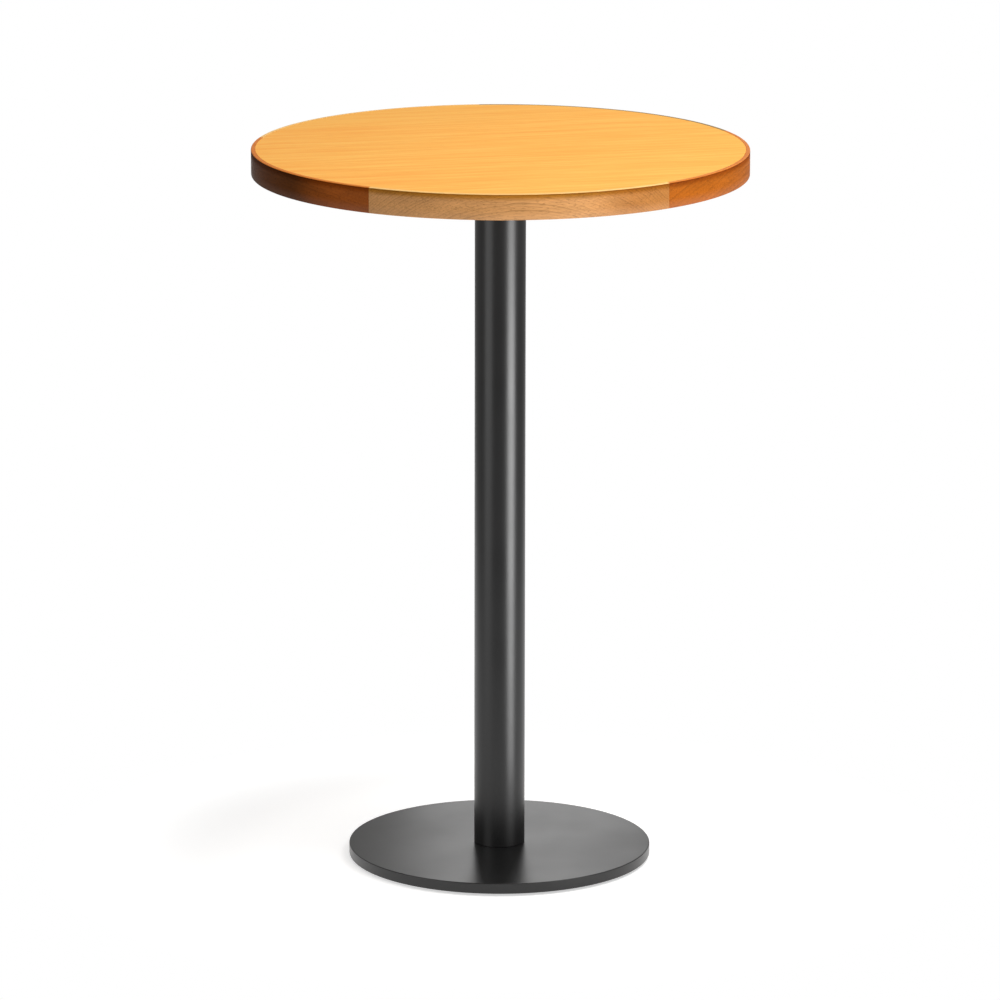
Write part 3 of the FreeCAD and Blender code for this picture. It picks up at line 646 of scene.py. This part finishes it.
def board_finish(colours):
    """Particle board of pressed wood chips."""
    recipe = Recipe("core_board_chips")
    place = recipe.place()
    inputs = {"Vector": recipe.mapped(place, (160.0, 260.0, 620.0)), "Scale": 1.0}
    chips = recipe.node("ShaderNodeTexVoronoi", inputs).outputs
    split = recipe.node("ShaderNodeSeparateColor", {"Color": chips["Color"]}).outputs["Red"]
    dust = recipe.noise(place, 900.0, detail=3.0)
    tone = recipe.mix(split, colours.board, shade_of(colours.board, 0.62))
    tone = recipe.mix(recipe.spread(dust, 0.35, 0.7, 0.0, 0.4), tone, shade_of(colours.board, 1.25))
    gloss = recipe.spread(dust, 0.3, 0.7, 0.8, 0.92)
    normal = recipe.bump(recipe.plus(chips["Distance"], dust), 0.00015, 0.5)
    return recipe.finish(Base_Color=tone, Roughness=gloss, Normal=normal)


def backing_finish(colours):
    """Plain balancing veneer with a thin matt lacquer."""
    recipe = Recipe("backing_veneer_matt")
    leaf = recipe.mapped(recipe.place(), turn=LEAF_TURN)
    bands = recipe.noise(leaf, (1.5, 34.0, 1.0), detail=4.0, roughness=0.6, distortion=0.4)
    fibres = recipe.noise(leaf, (14.0, 520.0, 1.0))
    pores = recipe.spread(recipe.noise(leaf, (38.0, 1100.0, 1.0), detail=1.0), 0.58, 0.70)
    grain = recipe.spread(bands, 0.3, 0.72, 0.0, 0.55)
    grain = recipe.plus(grain, recipe.spread(fibres, 0.3, 0.7, 0.0, 0.35))
    tone = recipe.mix(grain, colours.backing, shade_of(colours.backing, 0.55))
    tone = recipe.mix(recipe.times(pores, 0.5), tone, shade_of(colours.backing, 0.3))
    gloss = recipe.spread(fibres, 0.3, 0.7, 0.56, 0.68)
    normal = recipe.bump(recipe.minus(fibres, pores), 0.00005, 0.5)
    return recipe.finish(Base_Color=tone, Roughness=gloss, Specular_IOR_Level=0.4, Normal=normal)


def shared_finish(name, make):
    """A finish that several pieces share, made the first time it is asked for."""
    return bpy.data.materials.get(name) or make()


def black_coat(context):
    """The powder coat of spider, column and base."""
    return shared_finish("satin_black_powder_coat", lambda: powder_coat_finish(context.scene.table_colours))


def zinc_plate(context):
    """The plating of rod, nuts, washers, studs and seat screws."""
    tone = context.scene.table_colours.zinc
    return shared_finish("zinc_plate", lambda: plated_finish("zinc_plate", tone, 0.26, 0.40, 240.0))


def check_closed(piece):
    """Stops the script if a piece's mesh has an open or doubled edge."""
    mesh = bmesh.new()
    mesh.from_mesh(piece.data)
    faults = [edge for edge in mesh.edges if len(edge.link_faces) != 2]
    volume = mesh.calc_volume(signed=True)
    mesh.free()
    if faults or volume <= 0:
        raise RuntimeError(f"{piece.name}: {len(faults)} bad edges, volume {volume}")


def check_place(piece, nodes):
    """Stops the script if a piece isn't where the CAD nodes are that it stands for."""
    boxes = [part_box(node) for node in nodes]
    corners = [Vector(corner) for corner in piece.bound_box]
    for end, outermost in ((0, min), (1, max)):
        for axis in range(3):
            there = outermost(box[end][axis] for box in boxes)
            here = outermost(corner[axis] for corner in corners)
            if abs(there - here) > PLACE_TOLERANCE:
                raise RuntimeError(f"{piece.name}: {here} on axis {axis}, where its nodes have {there}")


def finish_piece(piece, material, body, slot, *nodes):
    """Shades a piece, gives it its finish and puts it on its body in place of CAD nodes."""
    check_closed(piece)
    check_place(piece, nodes)
    pick(piece)
    bpy.ops.object.shade_smooth_by_angle(angle=SMOOTH_ANGLE)
    even = piece.modifiers.new("even_normals", "WEIGHTED_NORMAL")
    even.keep_sharp = True
    bpy.ops.object.modifier_apply(modifier=even.name)
    piece.data.materials.clear()
    piece.data.materials.append(material)
    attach(piece, body)
    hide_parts(*nodes)


def finish_node(node, material):
    """Gives a CAD node that stays its finish."""
    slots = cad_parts[node].material_slots
    if not slots:
        raise RuntimeError(f"{node} has no material slot")
    for slot in slots:
        slot.material = material


# Operators, one for each piece or group of like pieces


class TABLE_OT_veneer(bpy.types.Operator):
    """Lays the face veneer inside the lipping's border"""

    bl_idname = "table.veneer"
    bl_label = "Face veneer"
    bl_options = {"REGISTER", "UNDO"}

    def execute(self, context):
        sizes = context.scene.table_sizes
        low, high = node_levels("face_veneer")
        radius = node_reach("face_veneer")
        circle = bpy.ops.mesh.primitive_circle_add
        piece = open_primitive("veneer_sheet", circle, vertices=360, radius=radius, fill_type="NGON")
        raise_face(low, high)
        select_parts(piece, "edges", lambda edge: all(vert.co.z > high - NEAR for vert in edge.verts))
        bpy.ops.mesh.bevel(offset=sizes.border_groove, segments=2, affect="EDGES")
        select_parts(piece, "faces", lambda face: len(face.verts) > 4)
        bpy.ops.mesh.inset(thickness=radius / 3)
        close_mesh()
        finish_piece(
            piece, face_veneer_finish(context.scene.table_colours), "table", "face_veneer", "face_veneer"
        )
        return {"FINISHED"}


class TABLE_OT_lipping(bpy.types.Operator):
    """Bends the five lengths of solid wood lipping round the top"""

    bl_idname = "table.lipping"
    bl_label = "Lipping"
    bl_options = {"REGISTER", "UNDO"}

    # Slope and spacing of the growth rings, roughness and refraction of the lacquer, strength of the grain,
    # and the tint of the wood's counter-clockwise end, which on the left length is a painted reflection by
    # the joint.
    STOCK = {
        "front": (1.45, 0.0026, 0.50, 1.16, 1.0, (0.70, 0.57, 0.37)),
        "right": (0.85, 0.0060, 0.45, 1.14, 1.05, (1.0, 1.0, 1.0)),
        "back_right": (1.2, 0.0032, 0.48, 1.16, 1.0, (1.0, 0.95, 0.9)),
        "back_left": (-0.9, 0.0040, 0.45, 1.16, 0.9, (1.1, 1.1, 1.1)),
        "left": (0.35, 0.0050, 0.30, 1.08, 0.7, (3.4, 2.9, 2.2)),
    }
    # Colour of the border of each length; the pale one is partly a painted highlight of the rounded edge.
    BORDER = {
        "front": "border_pale_and_highlight",
        "right": "border_red",
        "back_right": "border_dark",
        "back_left": "border_pale_and_highlight",
        "left": "border_red",
    }

    def bend(self, name, sizes, start, levels):
        """One length, drawn as a section and spun through its angle."""
        low, high = levels
        outside = sizes.top_radius
        inside = outside - sizes.lipping_width
        border = outside - sizes.border_width
        veneer = node_levels("face_veneer")[0]
        arrises = ((outside, low), (outside, high))
        groove = ((border, high),)
        section = ((inside, low), arrises[0], arrises[1], groove[0], (border, veneer), (inside, veneer))
        piece = draw_outline(f"lipping_{name}_wood", section, start)
        round_corners(piece, arrises, sizes.lipping_arris, 5, start)
        round_corners(piece, groove, sizes.border_groove, 1, start)
        bpy.ops.mesh.select_all(action="SELECT")
        bpy.ops.mesh.spin(steps=72, angle=LIPPING_ANGLE, center=(0, 0, 0), axis=(0, 0, -1))
        mend_mesh()
        select_parts(piece, "faces", lambda face: len(face.verts) > 4)
        bpy.ops.mesh.region_to_loop()
        bpy.ops.mesh.bevel(offset=sizes.joint_chamfer, segments=1, affect="EDGES")
        close_mesh()
        return piece

    def execute(self, context):
        sizes, colours = context.scene.table_sizes, context.scene.table_colours
        levels = node_levels("lipping_front")
        for position, name in enumerate(LIPPING_NAMES):
            start = sizes.first_joint - math.pi / 2 + (position - 1) * LIPPING_ANGLE
            piece = self.bend(name, sizes, start, levels)
            tone = tuple(getattr(colours, f"lipping_{name}"))
            border = tuple(getattr(colours, self.BORDER[name]))
            middle = start + LIPPING_ANGLE / 2
            material = lipping_finish(name, tone, middle, levels, border, *self.STOCK[name])
            finish_piece(piece, material, "table", f"lipping_{name}", f"lipping_{name}")
        return {"FINISHED"}


class TABLE_OT_column(bpy.types.Operator):
    """Turns the column tube with its edges broken"""

    bl_idname = "table.column"
    bl_label = "Column"
    bl_options = {"REGISTER", "UNDO"}

    def execute(self, context):
        sizes = context.scene.table_sizes
        low, high = node_levels("column_tube")
        outside, inside = sizes.column_radius, sizes.column_radius - sizes.column_wall
        ends = ((outside, low), (outside, high))
        section = ((inside, low), *ends, (inside, high))
        piece = turned_piece("column_pipe", section, 160, ends, sizes.column_edge, 3)
        finish_piece(piece, black_coat(context), "table", "black_powder_coat", "column_tube")
        return {"FINISHED"}


class TABLE_OT_base(bpy.types.Operator):
    """Turns the base plate and drills it for the rod, the seat screws and the glides"""

    bl_idname = "table.base"
    bl_label = "Base plate"
    bl_options = {"REGISTER", "UNDO"}

    ROD_HOLE = 0.00525
    GLIDE_HOLE, GLIDE_DEPTH = 0.00405, 0.012
    SEAT_HOLE, SEAT_DEPTH, SEAT_CIRCLE = 0.00305, 0.0085, 0.027
    OVERRUN = 0.001

    def holes(self, low, high):
        """All the blind holes, as one cutter."""
        cutters = []
        for number in GLIDE_NUMBERS:
            pad_low, pad_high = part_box(f"glide_pad_{number}")
            place = (pad_low + pad_high) / 2
            cutters.append((place.x, place.y, self.GLIDE_HOLE, low - self.OVERRUN, low + self.GLIDE_DEPTH))
        for third in range(3):
            turn = FULL_TURN * third / 3
            x, y = self.SEAT_CIRCLE * math.cos(turn), self.SEAT_CIRCLE * math.sin(turn)
            cutters.append((x, y, self.SEAT_HOLE, high - self.SEAT_DEPTH, high + self.OVERRUN))
        made = []
        for x, y, radius, bottom, top in cutters:
            cutter = turned_piece(f"hole_{len(made)}", bar_section(radius, bottom, top), 32)
            move_mesh(cutter, (x, y, 0))
            made.append(cutter)
        return joined(made)

    def execute(self, context):
        sizes = context.scene.table_sizes
        low, high = node_levels("base_plate")
        floor = node_levels("lower_washer")[1]
        rim = ((sizes.base_radius, low), (sizes.base_radius, high))
        section = (
            (self.ROD_HOLE, floor),
            (sizes.recess_radius, floor),
            (sizes.recess_radius, low),
            *rim,
            (self.ROD_HOLE, high),
        )
        piece = turned_piece("base_disc", section, 256, rim, sizes.base_edge, 4)
        combine(piece, self.holes(low, high), "DIFFERENCE")
        finish_piece(piece, black_coat(context), "table", "black_powder_coat", "base_plate")
        return {"FINISHED"}


class TABLE_OT_spider(bpy.types.Operator):
    """Softens the cast edges of the spider under the top"""

    bl_idname = "table.spider"
    bl_label = "Spider"
    bl_options = {"REGISTER", "UNDO"}

    WELD_DISTANCE = 1e-5
    FLAT_ANGLE, EDGE_ANGLE = math.radians(0.6), math.radians(40)

    def execute(self, context):
        sizes = context.scene.table_sizes
        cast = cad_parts["spider"]
        piece = bpy.data.objects.new("spider_casting", cast.data.copy())
        piece.data.name = "spider_casting"
        context.scene.collection.objects.link(piece)
        open_mesh(piece)
        bpy.ops.mesh.customdata_custom_splitnormals_clear()
        bpy.ops.mesh.remove_doubles(threshold=self.WELD_DISTANCE)
        bpy.ops.mesh.dissolve_limited(angle_limit=self.FLAT_ANGLE)
        bpy.ops.mesh.normals_make_consistent(inside=False)
        close_mesh()
        soft = piece.modifiers.new("cast_edges", "BEVEL")
        soft.width = sizes.casting_edge
        soft.segments = 2
        soft.limit_method = "ANGLE"
        soft.angle_limit = self.EDGE_ANGLE
        pick(piece)
        bpy.ops.object.modifier_apply(modifier=soft.name)
        finish_piece(piece, black_coat(context), "table", "black_powder_coat", "spider")
        return {"FINISHED"}


class TABLE_OT_wood_screws(bpy.types.Operator):
    """Makes one pan-head wood screw and copies it to both screw circles"""

    bl_idname = "table.wood_screws"
    bl_label = "Wood screws"
    bl_options = {"REGISTER", "UNDO"}

    CIRCLES = (0.105, 0.195)
    HEAD_HEIGHT = 0.0032
    POINT = 0.004
    SLOT_WIDTH, SLOT_LENGTH, SLOT_DEPTH = 0.0011, 0.0052, 0.0019
    SLOT_TAPER = (0.45, 0.7, 1.0)
    # Depth of the thread as a share of the radius, and flat at its root as a share of the pitch.
    CUT_DEPTH, CUT_ROOT = 0.34, 0.55
    # Turn from one screw's slots to the next one's, in radians.
    SLOT_TURN = 0.7

    def cross_recess(self, low):
        """A tapered cross that is cut into the head from below."""
        blades = []
        for turn in (0.0, math.pi / 2):
            blade = open_primitive(f"blade_{len(blades)}", bpy.ops.mesh.primitive_cube_add, size=1.0)
            bpy.ops.transform.resize(value=(self.SLOT_LENGTH, self.SLOT_WIDTH, 2 * self.SLOT_DEPTH))
            select_parts(blade, "verts", lambda vert: vert.co.z > 0)
            bpy.ops.transform.resize(value=self.SLOT_TAPER)
            close_mesh()
            move_mesh(blade, (0, 0, low), turn)
            blades.append(blade)
        combine(blades[0], blades[1], "UNION")
        return blades[0]

    def model(self, sizes, low, high):
        """One screw on the column's axis."""
        seat = low + self.HEAD_HEIGHT
        head = sizes.screw_head
        radius = sizes.screw_radius
        neck = seat + 0.0004
        dome = (
            (0, low),
            (head * 0.55, low),
            (head * 0.86, low + 0.0009),
            (head, low + 0.0022),
            (head, seat - 0.0003),
            (head - 0.0003, seat),
            (radius * 0.66, neck),
            (0, neck),
        )
        screw = turned_piece("wood_screws", dome, 40)
        combine(screw, self.cross_recess(low), "DIFFERENCE")
        depth = radius * self.CUT_DEPTH
        thread = thread_bar(
            "screw_thread", radius, sizes.screw_pitch, seat, high, depth, self.CUT_ROOT, 0.0002, 20
        )
        under, around, tip = seat - 0.001, radius + NEAR, high - NEAR
        point = ((0, under), (around, under), (around, high - self.POINT), (0.0003, tip), (0, tip))
        combine(thread, turned_piece("screw_point", point, 40), "INTERSECT")
        combine(screw, thread, "UNION")
        return screw

    def execute(self, context):
        sizes = context.scene.table_sizes
        low, high = node_levels("top_screws")
        first = self.model(sizes, low, high)
        screws = []
        for arm, angle in enumerate(ARM_ANGLES):
            for ring, radius in enumerate(self.CIRCLES):
                screw = copied(first, f"wood_screw_{arm}_{ring}")
                turn = self.SLOT_TURN * (2 * arm + ring)
                move_mesh(screw, (radius * math.cos(angle), radius * math.sin(angle), 0), turn)
                screws.append(screw)
        bpy.data.objects.remove(first, do_unlink=True)
        piece = joined(screws)
        piece.name = "wood_screws"
        piece.data.name = "wood_screws"
        tone = context.scene.table_colours.black_oxide
        material = plated_finish("black_oxide_screws", tone, 0.34, 0.48, 500.0)
        finish_piece(piece, material, "table", "black_screws", "top_screws")
        return {"FINISHED"}


class TABLE_OT_tie_rod(bpy.types.Operator):
    """Threads the tie rod and makes its nuts and washers"""

    bl_idname = "table.tie_rod"
    bl_label = "Tie rod, nuts and washers"
    bl_options = {"REGISTER", "UNDO"}

    HOLE, WASHER_HOLE = 0.00505, 0.00525
    OVERLAP = 0.002
    THREAD_CHAMFER, BORE_SINK, WASHER_RIM = 0.001, 0.0006, 0.0004

    def rod(self, sizes):
        """The rod, with a rolled thread at both ends."""
        low, high = node_levels("tie_rod")
        shank = sizes.rod_radius - 0.35 * sizes.rod_pitch
        depth = THREAD_DEPTH * sizes.rod_pitch
        ends = []
        for name, bottom, top in (
            ("rod_foot", low, low + sizes.rod_thread),
            ("rod_head", high - sizes.rod_thread, high),
        ):
            cut = (bottom, top, depth, THREAD_ROOT, self.THREAD_CHAMFER)
            ends.append(thread_bar(name, sizes.rod_radius, sizes.rod_pitch, *cut))
        bottom, top = low + sizes.rod_thread - self.OVERLAP, high - sizes.rod_thread + self.OVERLAP
        piece = turned_piece("tie_rod_threaded", bar_section(shank, bottom, top), 48)
        for end in ends:
            combine(piece, end, "UNION")
        return piece

    def nut(self, name, node, sizes):
        """A hexagon nut, chamfered at both faces and countersunk in its bore."""
        low, high = node_levels(node)
        corner, flat = sizes.nut_flats / math.sqrt(3), sizes.nut_flats / 2
        drop = (corner - flat) * math.tan(math.radians(30))
        piece = hexagon_bar(name, sizes.nut_flats, low, high)
        sink = self.BORE_SINK
        blank = (
            (self.HOLE, low + sink),
            (self.HOLE + sink, low),
            (flat * 0.98, low),
            (corner + NEAR, low + drop * 1.1),
            (corner + NEAR, high - drop * 1.1),
            (flat * 0.98, high),
            (self.HOLE + sink, high),
            (self.HOLE, high - sink),
        )
        combine(piece, turned_piece(f"{name}_blank", blank, 72), "INTERSECT")
        return piece

    def washer(self, name, node):
        """A stamped washer with rounded rims."""
        low, high = node_levels(node)
        outside = node_reach(node)
        rims = ((outside, low), (outside, high))
        section = ((self.WASHER_HOLE, low), *rims, (self.WASHER_HOLE, high))
        return turned_piece(name, section, 72, rims, self.WASHER_RIM, 3)

    def execute(self, context):
        sizes = context.scene.table_sizes
        zinc = zinc_plate(context)
        finish_piece(self.rod(sizes), zinc, "table", "zinc_steel", "tie_rod")
        for end in ("upper", "lower"):
            nut = self.nut(f"clamp_nut_{end}", f"{end}_nut", sizes)
            finish_piece(nut, zinc, "table", "zinc_steel", f"{end}_nut")
            washer = self.washer(f"clamp_washer_{end}", f"{end}_washer")
            finish_piece(washer, zinc, "table", "zinc_steel", f"{end}_washer")
        return {"FINISHED"}


class TABLE_OT_glides(bpy.types.Operator):
    """Makes one levelling glide and copies it to the four corners"""

    bl_idname = "table.glides"
    bl_label = "Levelling glides"
    bl_options = {"REGISTER", "UNDO"}

    SOCKET, SOCKET_FLOOR = 0.00505, 0.0013
    FOOT = 0.005
    MARK, MARK_DEPTH = 0.006, 0.0003
    PAD_RIM, FLANGE_CHAMFER, THREAD_CHAMFER = 0.001, 0.0004, 0.0007
    FOOT_OVERLAP, THREAD_OVERLAP = 0.0005, 0.0008

    def pad(self):
        """The nylon pad on the column's axis, with a rounded rim and a moulding mark below."""
        low, high = node_levels("glide_pad_1")
        rim = node_width("glide_pad_1")
        section = (
            (0, low + self.MARK_DEPTH),
            (self.MARK - self.MARK_DEPTH, low + self.MARK_DEPTH),
            (self.MARK, low),
            (rim, low),
            (rim, high),
            (self.SOCKET, high),
            (self.SOCKET, low + self.SOCKET_FLOOR),
            (0, low + self.SOCKET_FLOOR),
        )
        return turned_piece("glide_foot", section, 72, ((rim, low),), self.PAD_RIM, 4)

    def stud(self, sizes):
        """The threaded stud with its hexagon flange, on the column's axis."""
        low, high = node_levels("glide_stud_1")
        flange_low = node_levels("glide_pad_1")[1]
        flange_high = node_levels("base_plate")[0]
        corner, flat = sizes.stud_flats / math.sqrt(3), sizes.stud_flats / 2
        piece = hexagon_bar("glide_screw", sizes.stud_flats, flange_low, flange_high)
        blank = (
            (0, flange_low),
            (flat * 1.04, flange_low),
            (corner + NEAR, flange_low + self.FLANGE_CHAMFER),
            (corner + NEAR, flange_high - self.FLANGE_CHAMFER),
            (flat * 1.04, flange_high),
            (0, flange_high),
        )
        combine(piece, turned_piece("flange_blank", blank, 72), "INTERSECT")
        foot = bar_section(self.FOOT, low, flange_low + self.FOOT_OVERLAP)
        combine(piece, turned_piece("stud_foot", foot, 48), "UNION")
        start, depth = flange_high - self.THREAD_OVERLAP, THREAD_DEPTH * sizes.stud_pitch
        cut = (start, high, depth, THREAD_ROOT, self.THREAD_CHAMFER)
        combine(piece, thread_bar("stud_thread", sizes.stud_radius, sizes.stud_pitch, *cut), "UNION")
        return piece

    def execute(self, context):
        pad, stud = self.pad(), self.stud(context.scene.table_sizes)
        nylon = nylon_finish(context.scene.table_colours)
        for number in GLIDE_NUMBERS:
            low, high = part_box(f"glide_pad_{number}")
            place = ((low.x + high.x) / 2, (low.y + high.y) / 2, 0)
            foot = copied(pad, f"glide_foot_{number}")
            move_mesh(foot, place)
            finish_piece(foot, nylon, f"glide_{number}", "black_nylon", f"glide_pad_{number}")
            screw = copied(stud, f"glide_screw_{number}")
            move_mesh(screw, place)
            finish_piece(screw, zinc_plate(context), f"glide_{number}", "zinc_steel", f"glide_stud_{number}")
        for model in (pad, stud):
            bpy.data.objects.remove(model, do_unlink=True)
        return {"FINISHED"}


class TABLE_OT_inner_pieces(bpy.types.Operator):
    """Finishes the core board, the backing, the column seat and its screws, which keep their CAD shapes"""

    bl_idname = "table.inner_pieces"
    bl_label = "Core, backing and column seat"
    bl_options = {"REGISTER", "UNDO"}

    def execute(self, context):
        colours = context.scene.table_colours
        finish_node("core_board", board_finish(colours))
        finish_node("backing_veneer", backing_finish(colours))
        finish_node("column_seat", turned_finish(colours))
        finish_node("seat_screws", zinc_plate(context))
        return {"FINISHED"}


class TABLE_OT_stage(bpy.types.Operator):
    """Sets the paper floor, the lamps, the surroundings and the camera"""

    bl_idname = "table.stage"
    bl_label = "Stage"
    bl_options = {"REGISTER", "UNDO"}

    CAMERA_PLACE = (0.0001, -9.752, 2.8748)
    CAMERA_PITCH = math.radians(13.409)
    CAMERA_ROLL = math.radians(0.10)
    LENS, SENSOR = 241.4, 36.0
    # Half width, front and back of the paper, its colour, its glow beside the table, and the radii between
    # which it turns to plain white.
    PAPER = (1.55, -1.05, 8.8)
    PAPER_SHARE, PAPER_GLOW = 0.80, 0.56
    SHADOW_REACH = (0.34, 0.70)
    STUDIO_TONE, AMBIENT = (1.0, 0.99, 0.97, 1.0), 0.36

    # Name, place, aim, width, height and radiance of each lamp.
    LAMPS = (
        ("overhead_softbox", (0.95, -0.5, 3.0), (0.1, 0.0, 1.085), 2.0, 2.0, 4.95),
        ("floor_panel_far", (2.720, -2.202, 0.045), (2.693, -2.180, 1.045), 1.9, 2.2, 16.0),
        ("floor_panel_middle", (1.398, -1.132, 0.026), (1.371, -1.110, 1.026), 0.85, 1.2, 8.5),
        ("floor_panel_near", (0.661, -0.535, 0.017), (0.634, -0.513, 1.017), 0.36, 0.7, 5.0),
        ("left_card", (-1.61, -1.19, 0.8), (0.0, 0.0, 0.8), 1.23, 1.6, 1.5),
        ("back_strip", (0.06, 1.6, 0.6), (0.06, 0.0, 0.6), 0.42, 1.0, 1.2),
    )

    def background_share(self, recipe):
        """1 for a camera, glossy or transmitted ray, which shows the background, and 0 for others."""
        path = recipe.node("ShaderNodeLightPath", {}).outputs
        share = recipe.step("MAXIMUM", path["Is Camera Ray"], path["Is Glossy Ray"])
        return recipe.step("MAXIMUM", share, path["Is Transmission Ray"])

    def surroundings(self, context):
        """The studio round the paper: one plain grey, which every ray sees."""
        world = bpy.data.worlds.new("studio_surroundings")
        context.scene.world = world
        world.use_nodes = True
        studio = world.node_tree.nodes["Background"]
        studio.inputs["Color"].default_value = self.STUDIO_TONE
        studio.inputs["Strength"].default_value = self.AMBIENT

    def floor(self):
        """A long sheet of white paper that keeps a soft shadow, and can be seen through from below."""
        half, front, back = self.PAPER
        piece = open_primitive("studio_floor", bpy.ops.mesh.primitive_plane_add, size=2.0)
        bpy.ops.transform.resize(value=(half, (back - front) / 2, 1.0))
        close_mesh()
        move_mesh(piece, (0, (front + back) / 2, 0))
        recipe = Recipe("white_paper")
        tree = recipe.tree
        seen = self.background_share(recipe)
        far = recipe.spread(recipe.length(recipe.place()), *self.SHADOW_REACH)
        bare = (self.PAPER_SHARE,) * 3
        tone = recipe.mix(seen, bare, recipe.mix(far, bare, (0.0, 0.0, 0.0)))
        paper = recipe.node("ShaderNodeBsdfDiffuse", {"Color": tone})
        white = recipe.spread(far, 0.0, 1.0, self.PAPER_GLOW, 1.0)
        glow = recipe.node("ShaderNodeEmission", {"Strength": recipe.times(seen, white)})
        surface = recipe.node("ShaderNodeAddShader", {0: paper.outputs[0], 1: glow.outputs[0]})
        below = recipe.node("ShaderNodeNewGeometry", {}).outputs["Backfacing"]
        clear = recipe.node("ShaderNodeBsdfTransparent", {})
        inputs = {0: below, 1: surface.outputs[0], 2: clear.outputs[0]}
        shown = recipe.node("ShaderNodeMixShader", inputs)
        tree.links.new(shown.outputs[0], tree.nodes["Material Output"].inputs["Surface"])
        tree.nodes.remove(recipe.shader)
        piece.data.materials.append(recipe.material)

    def lamps(self):
        """Soft lamps, each given by its radiance."""
        for name, place, aim, width, height, radiance in self.LAMPS:
            clear_selection()
            bpy.ops.object.light_add(type="AREA", location=place)
            lamp = new_piece(name)
            lamp.data.shape = "RECTANGLE"
            lamp.data.size, lamp.data.size_y = width, height
            lamp.data.energy = radiance * math.pi * width * height
            lamp.rotation_euler = (Vector(aim) - Vector(place)).to_track_quat("-Z", "Y").to_euler()
            lamp.visible_camera = False

    def camera(self, context):
        """The photograph's view."""
        clear_selection()
        bpy.ops.object.camera_add(location=self.CAMERA_PLACE)
        camera = new_piece("photo_camera")
        tilt = Matrix.Rotation(math.pi / 2 - self.CAMERA_PITCH, 3, "X")
        camera.rotation_euler = (tilt @ Matrix.Rotation(self.CAMERA_ROLL, 3, "Z")).to_euler()
        camera.data.lens = self.LENS
        camera.data.sensor_width = self.SENSOR
        context.scene.camera = camera

    def execute(self, context):
        context.scene.view_settings.view_transform = "Standard"
        self.surroundings(context)
        self.floor()
        self.lamps()
        self.camera(context)
        return {"FINISHED"}


OPERATORS = (
    TABLE_OT_veneer,
    TABLE_OT_lipping,
    TABLE_OT_column,
    TABLE_OT_base,
    TABLE_OT_spider,
    TABLE_OT_wood_screws,
    TABLE_OT_tie_rod,
    TABLE_OT_glides,
    TABLE_OT_inner_pieces,
    TABLE_OT_stage,
)


class TABLE_PT_pieces(bpy.types.Panel):
    """Lists the pieces of the table, with their sizes and colours"""

    bl_label = "Restaurant Table"
    bl_space_type = "VIEW_3D"
    bl_region_type = "UI"
    bl_category = "Table"

    def draw(self, context):
        layout = self.layout
        for operator in OPERATORS:
            layout.operator(operator.bl_idname)
        for group in (context.scene.table_sizes, context.scene.table_colours):
            box = layout.box()
            for name in group.bl_rna.properties.keys():
                if name not in ("rna_type", "name"):
                    box.prop(group, name)


CLASSES = (TableSizes, TableColours, *OPERATORS, TABLE_PT_pieces)


def register():
    """Adds the classes and the scene's settings."""
    for item in CLASSES:
        bpy.utils.register_class(item)
    bpy.types.Scene.table_sizes = PointerProperty(type=TableSizes)
    bpy.types.Scene.table_colours = PointerProperty(type=TableColours)


def unregister():
    """Takes the classes and the scene's settings away again."""
    del bpy.types.Scene.table_colours
    del bpy.types.Scene.table_sizes
    for item in reversed(CLASSES):
        bpy.utils.unregister_class(item)


def main():
    """Builds every piece and the stage."""
    register()
    for operator in OPERATORS:
        group, action = operator.bl_idname.split(".")
        getattr(getattr(bpy.ops, group), action)()


if __name__ == "__main__":
    main()
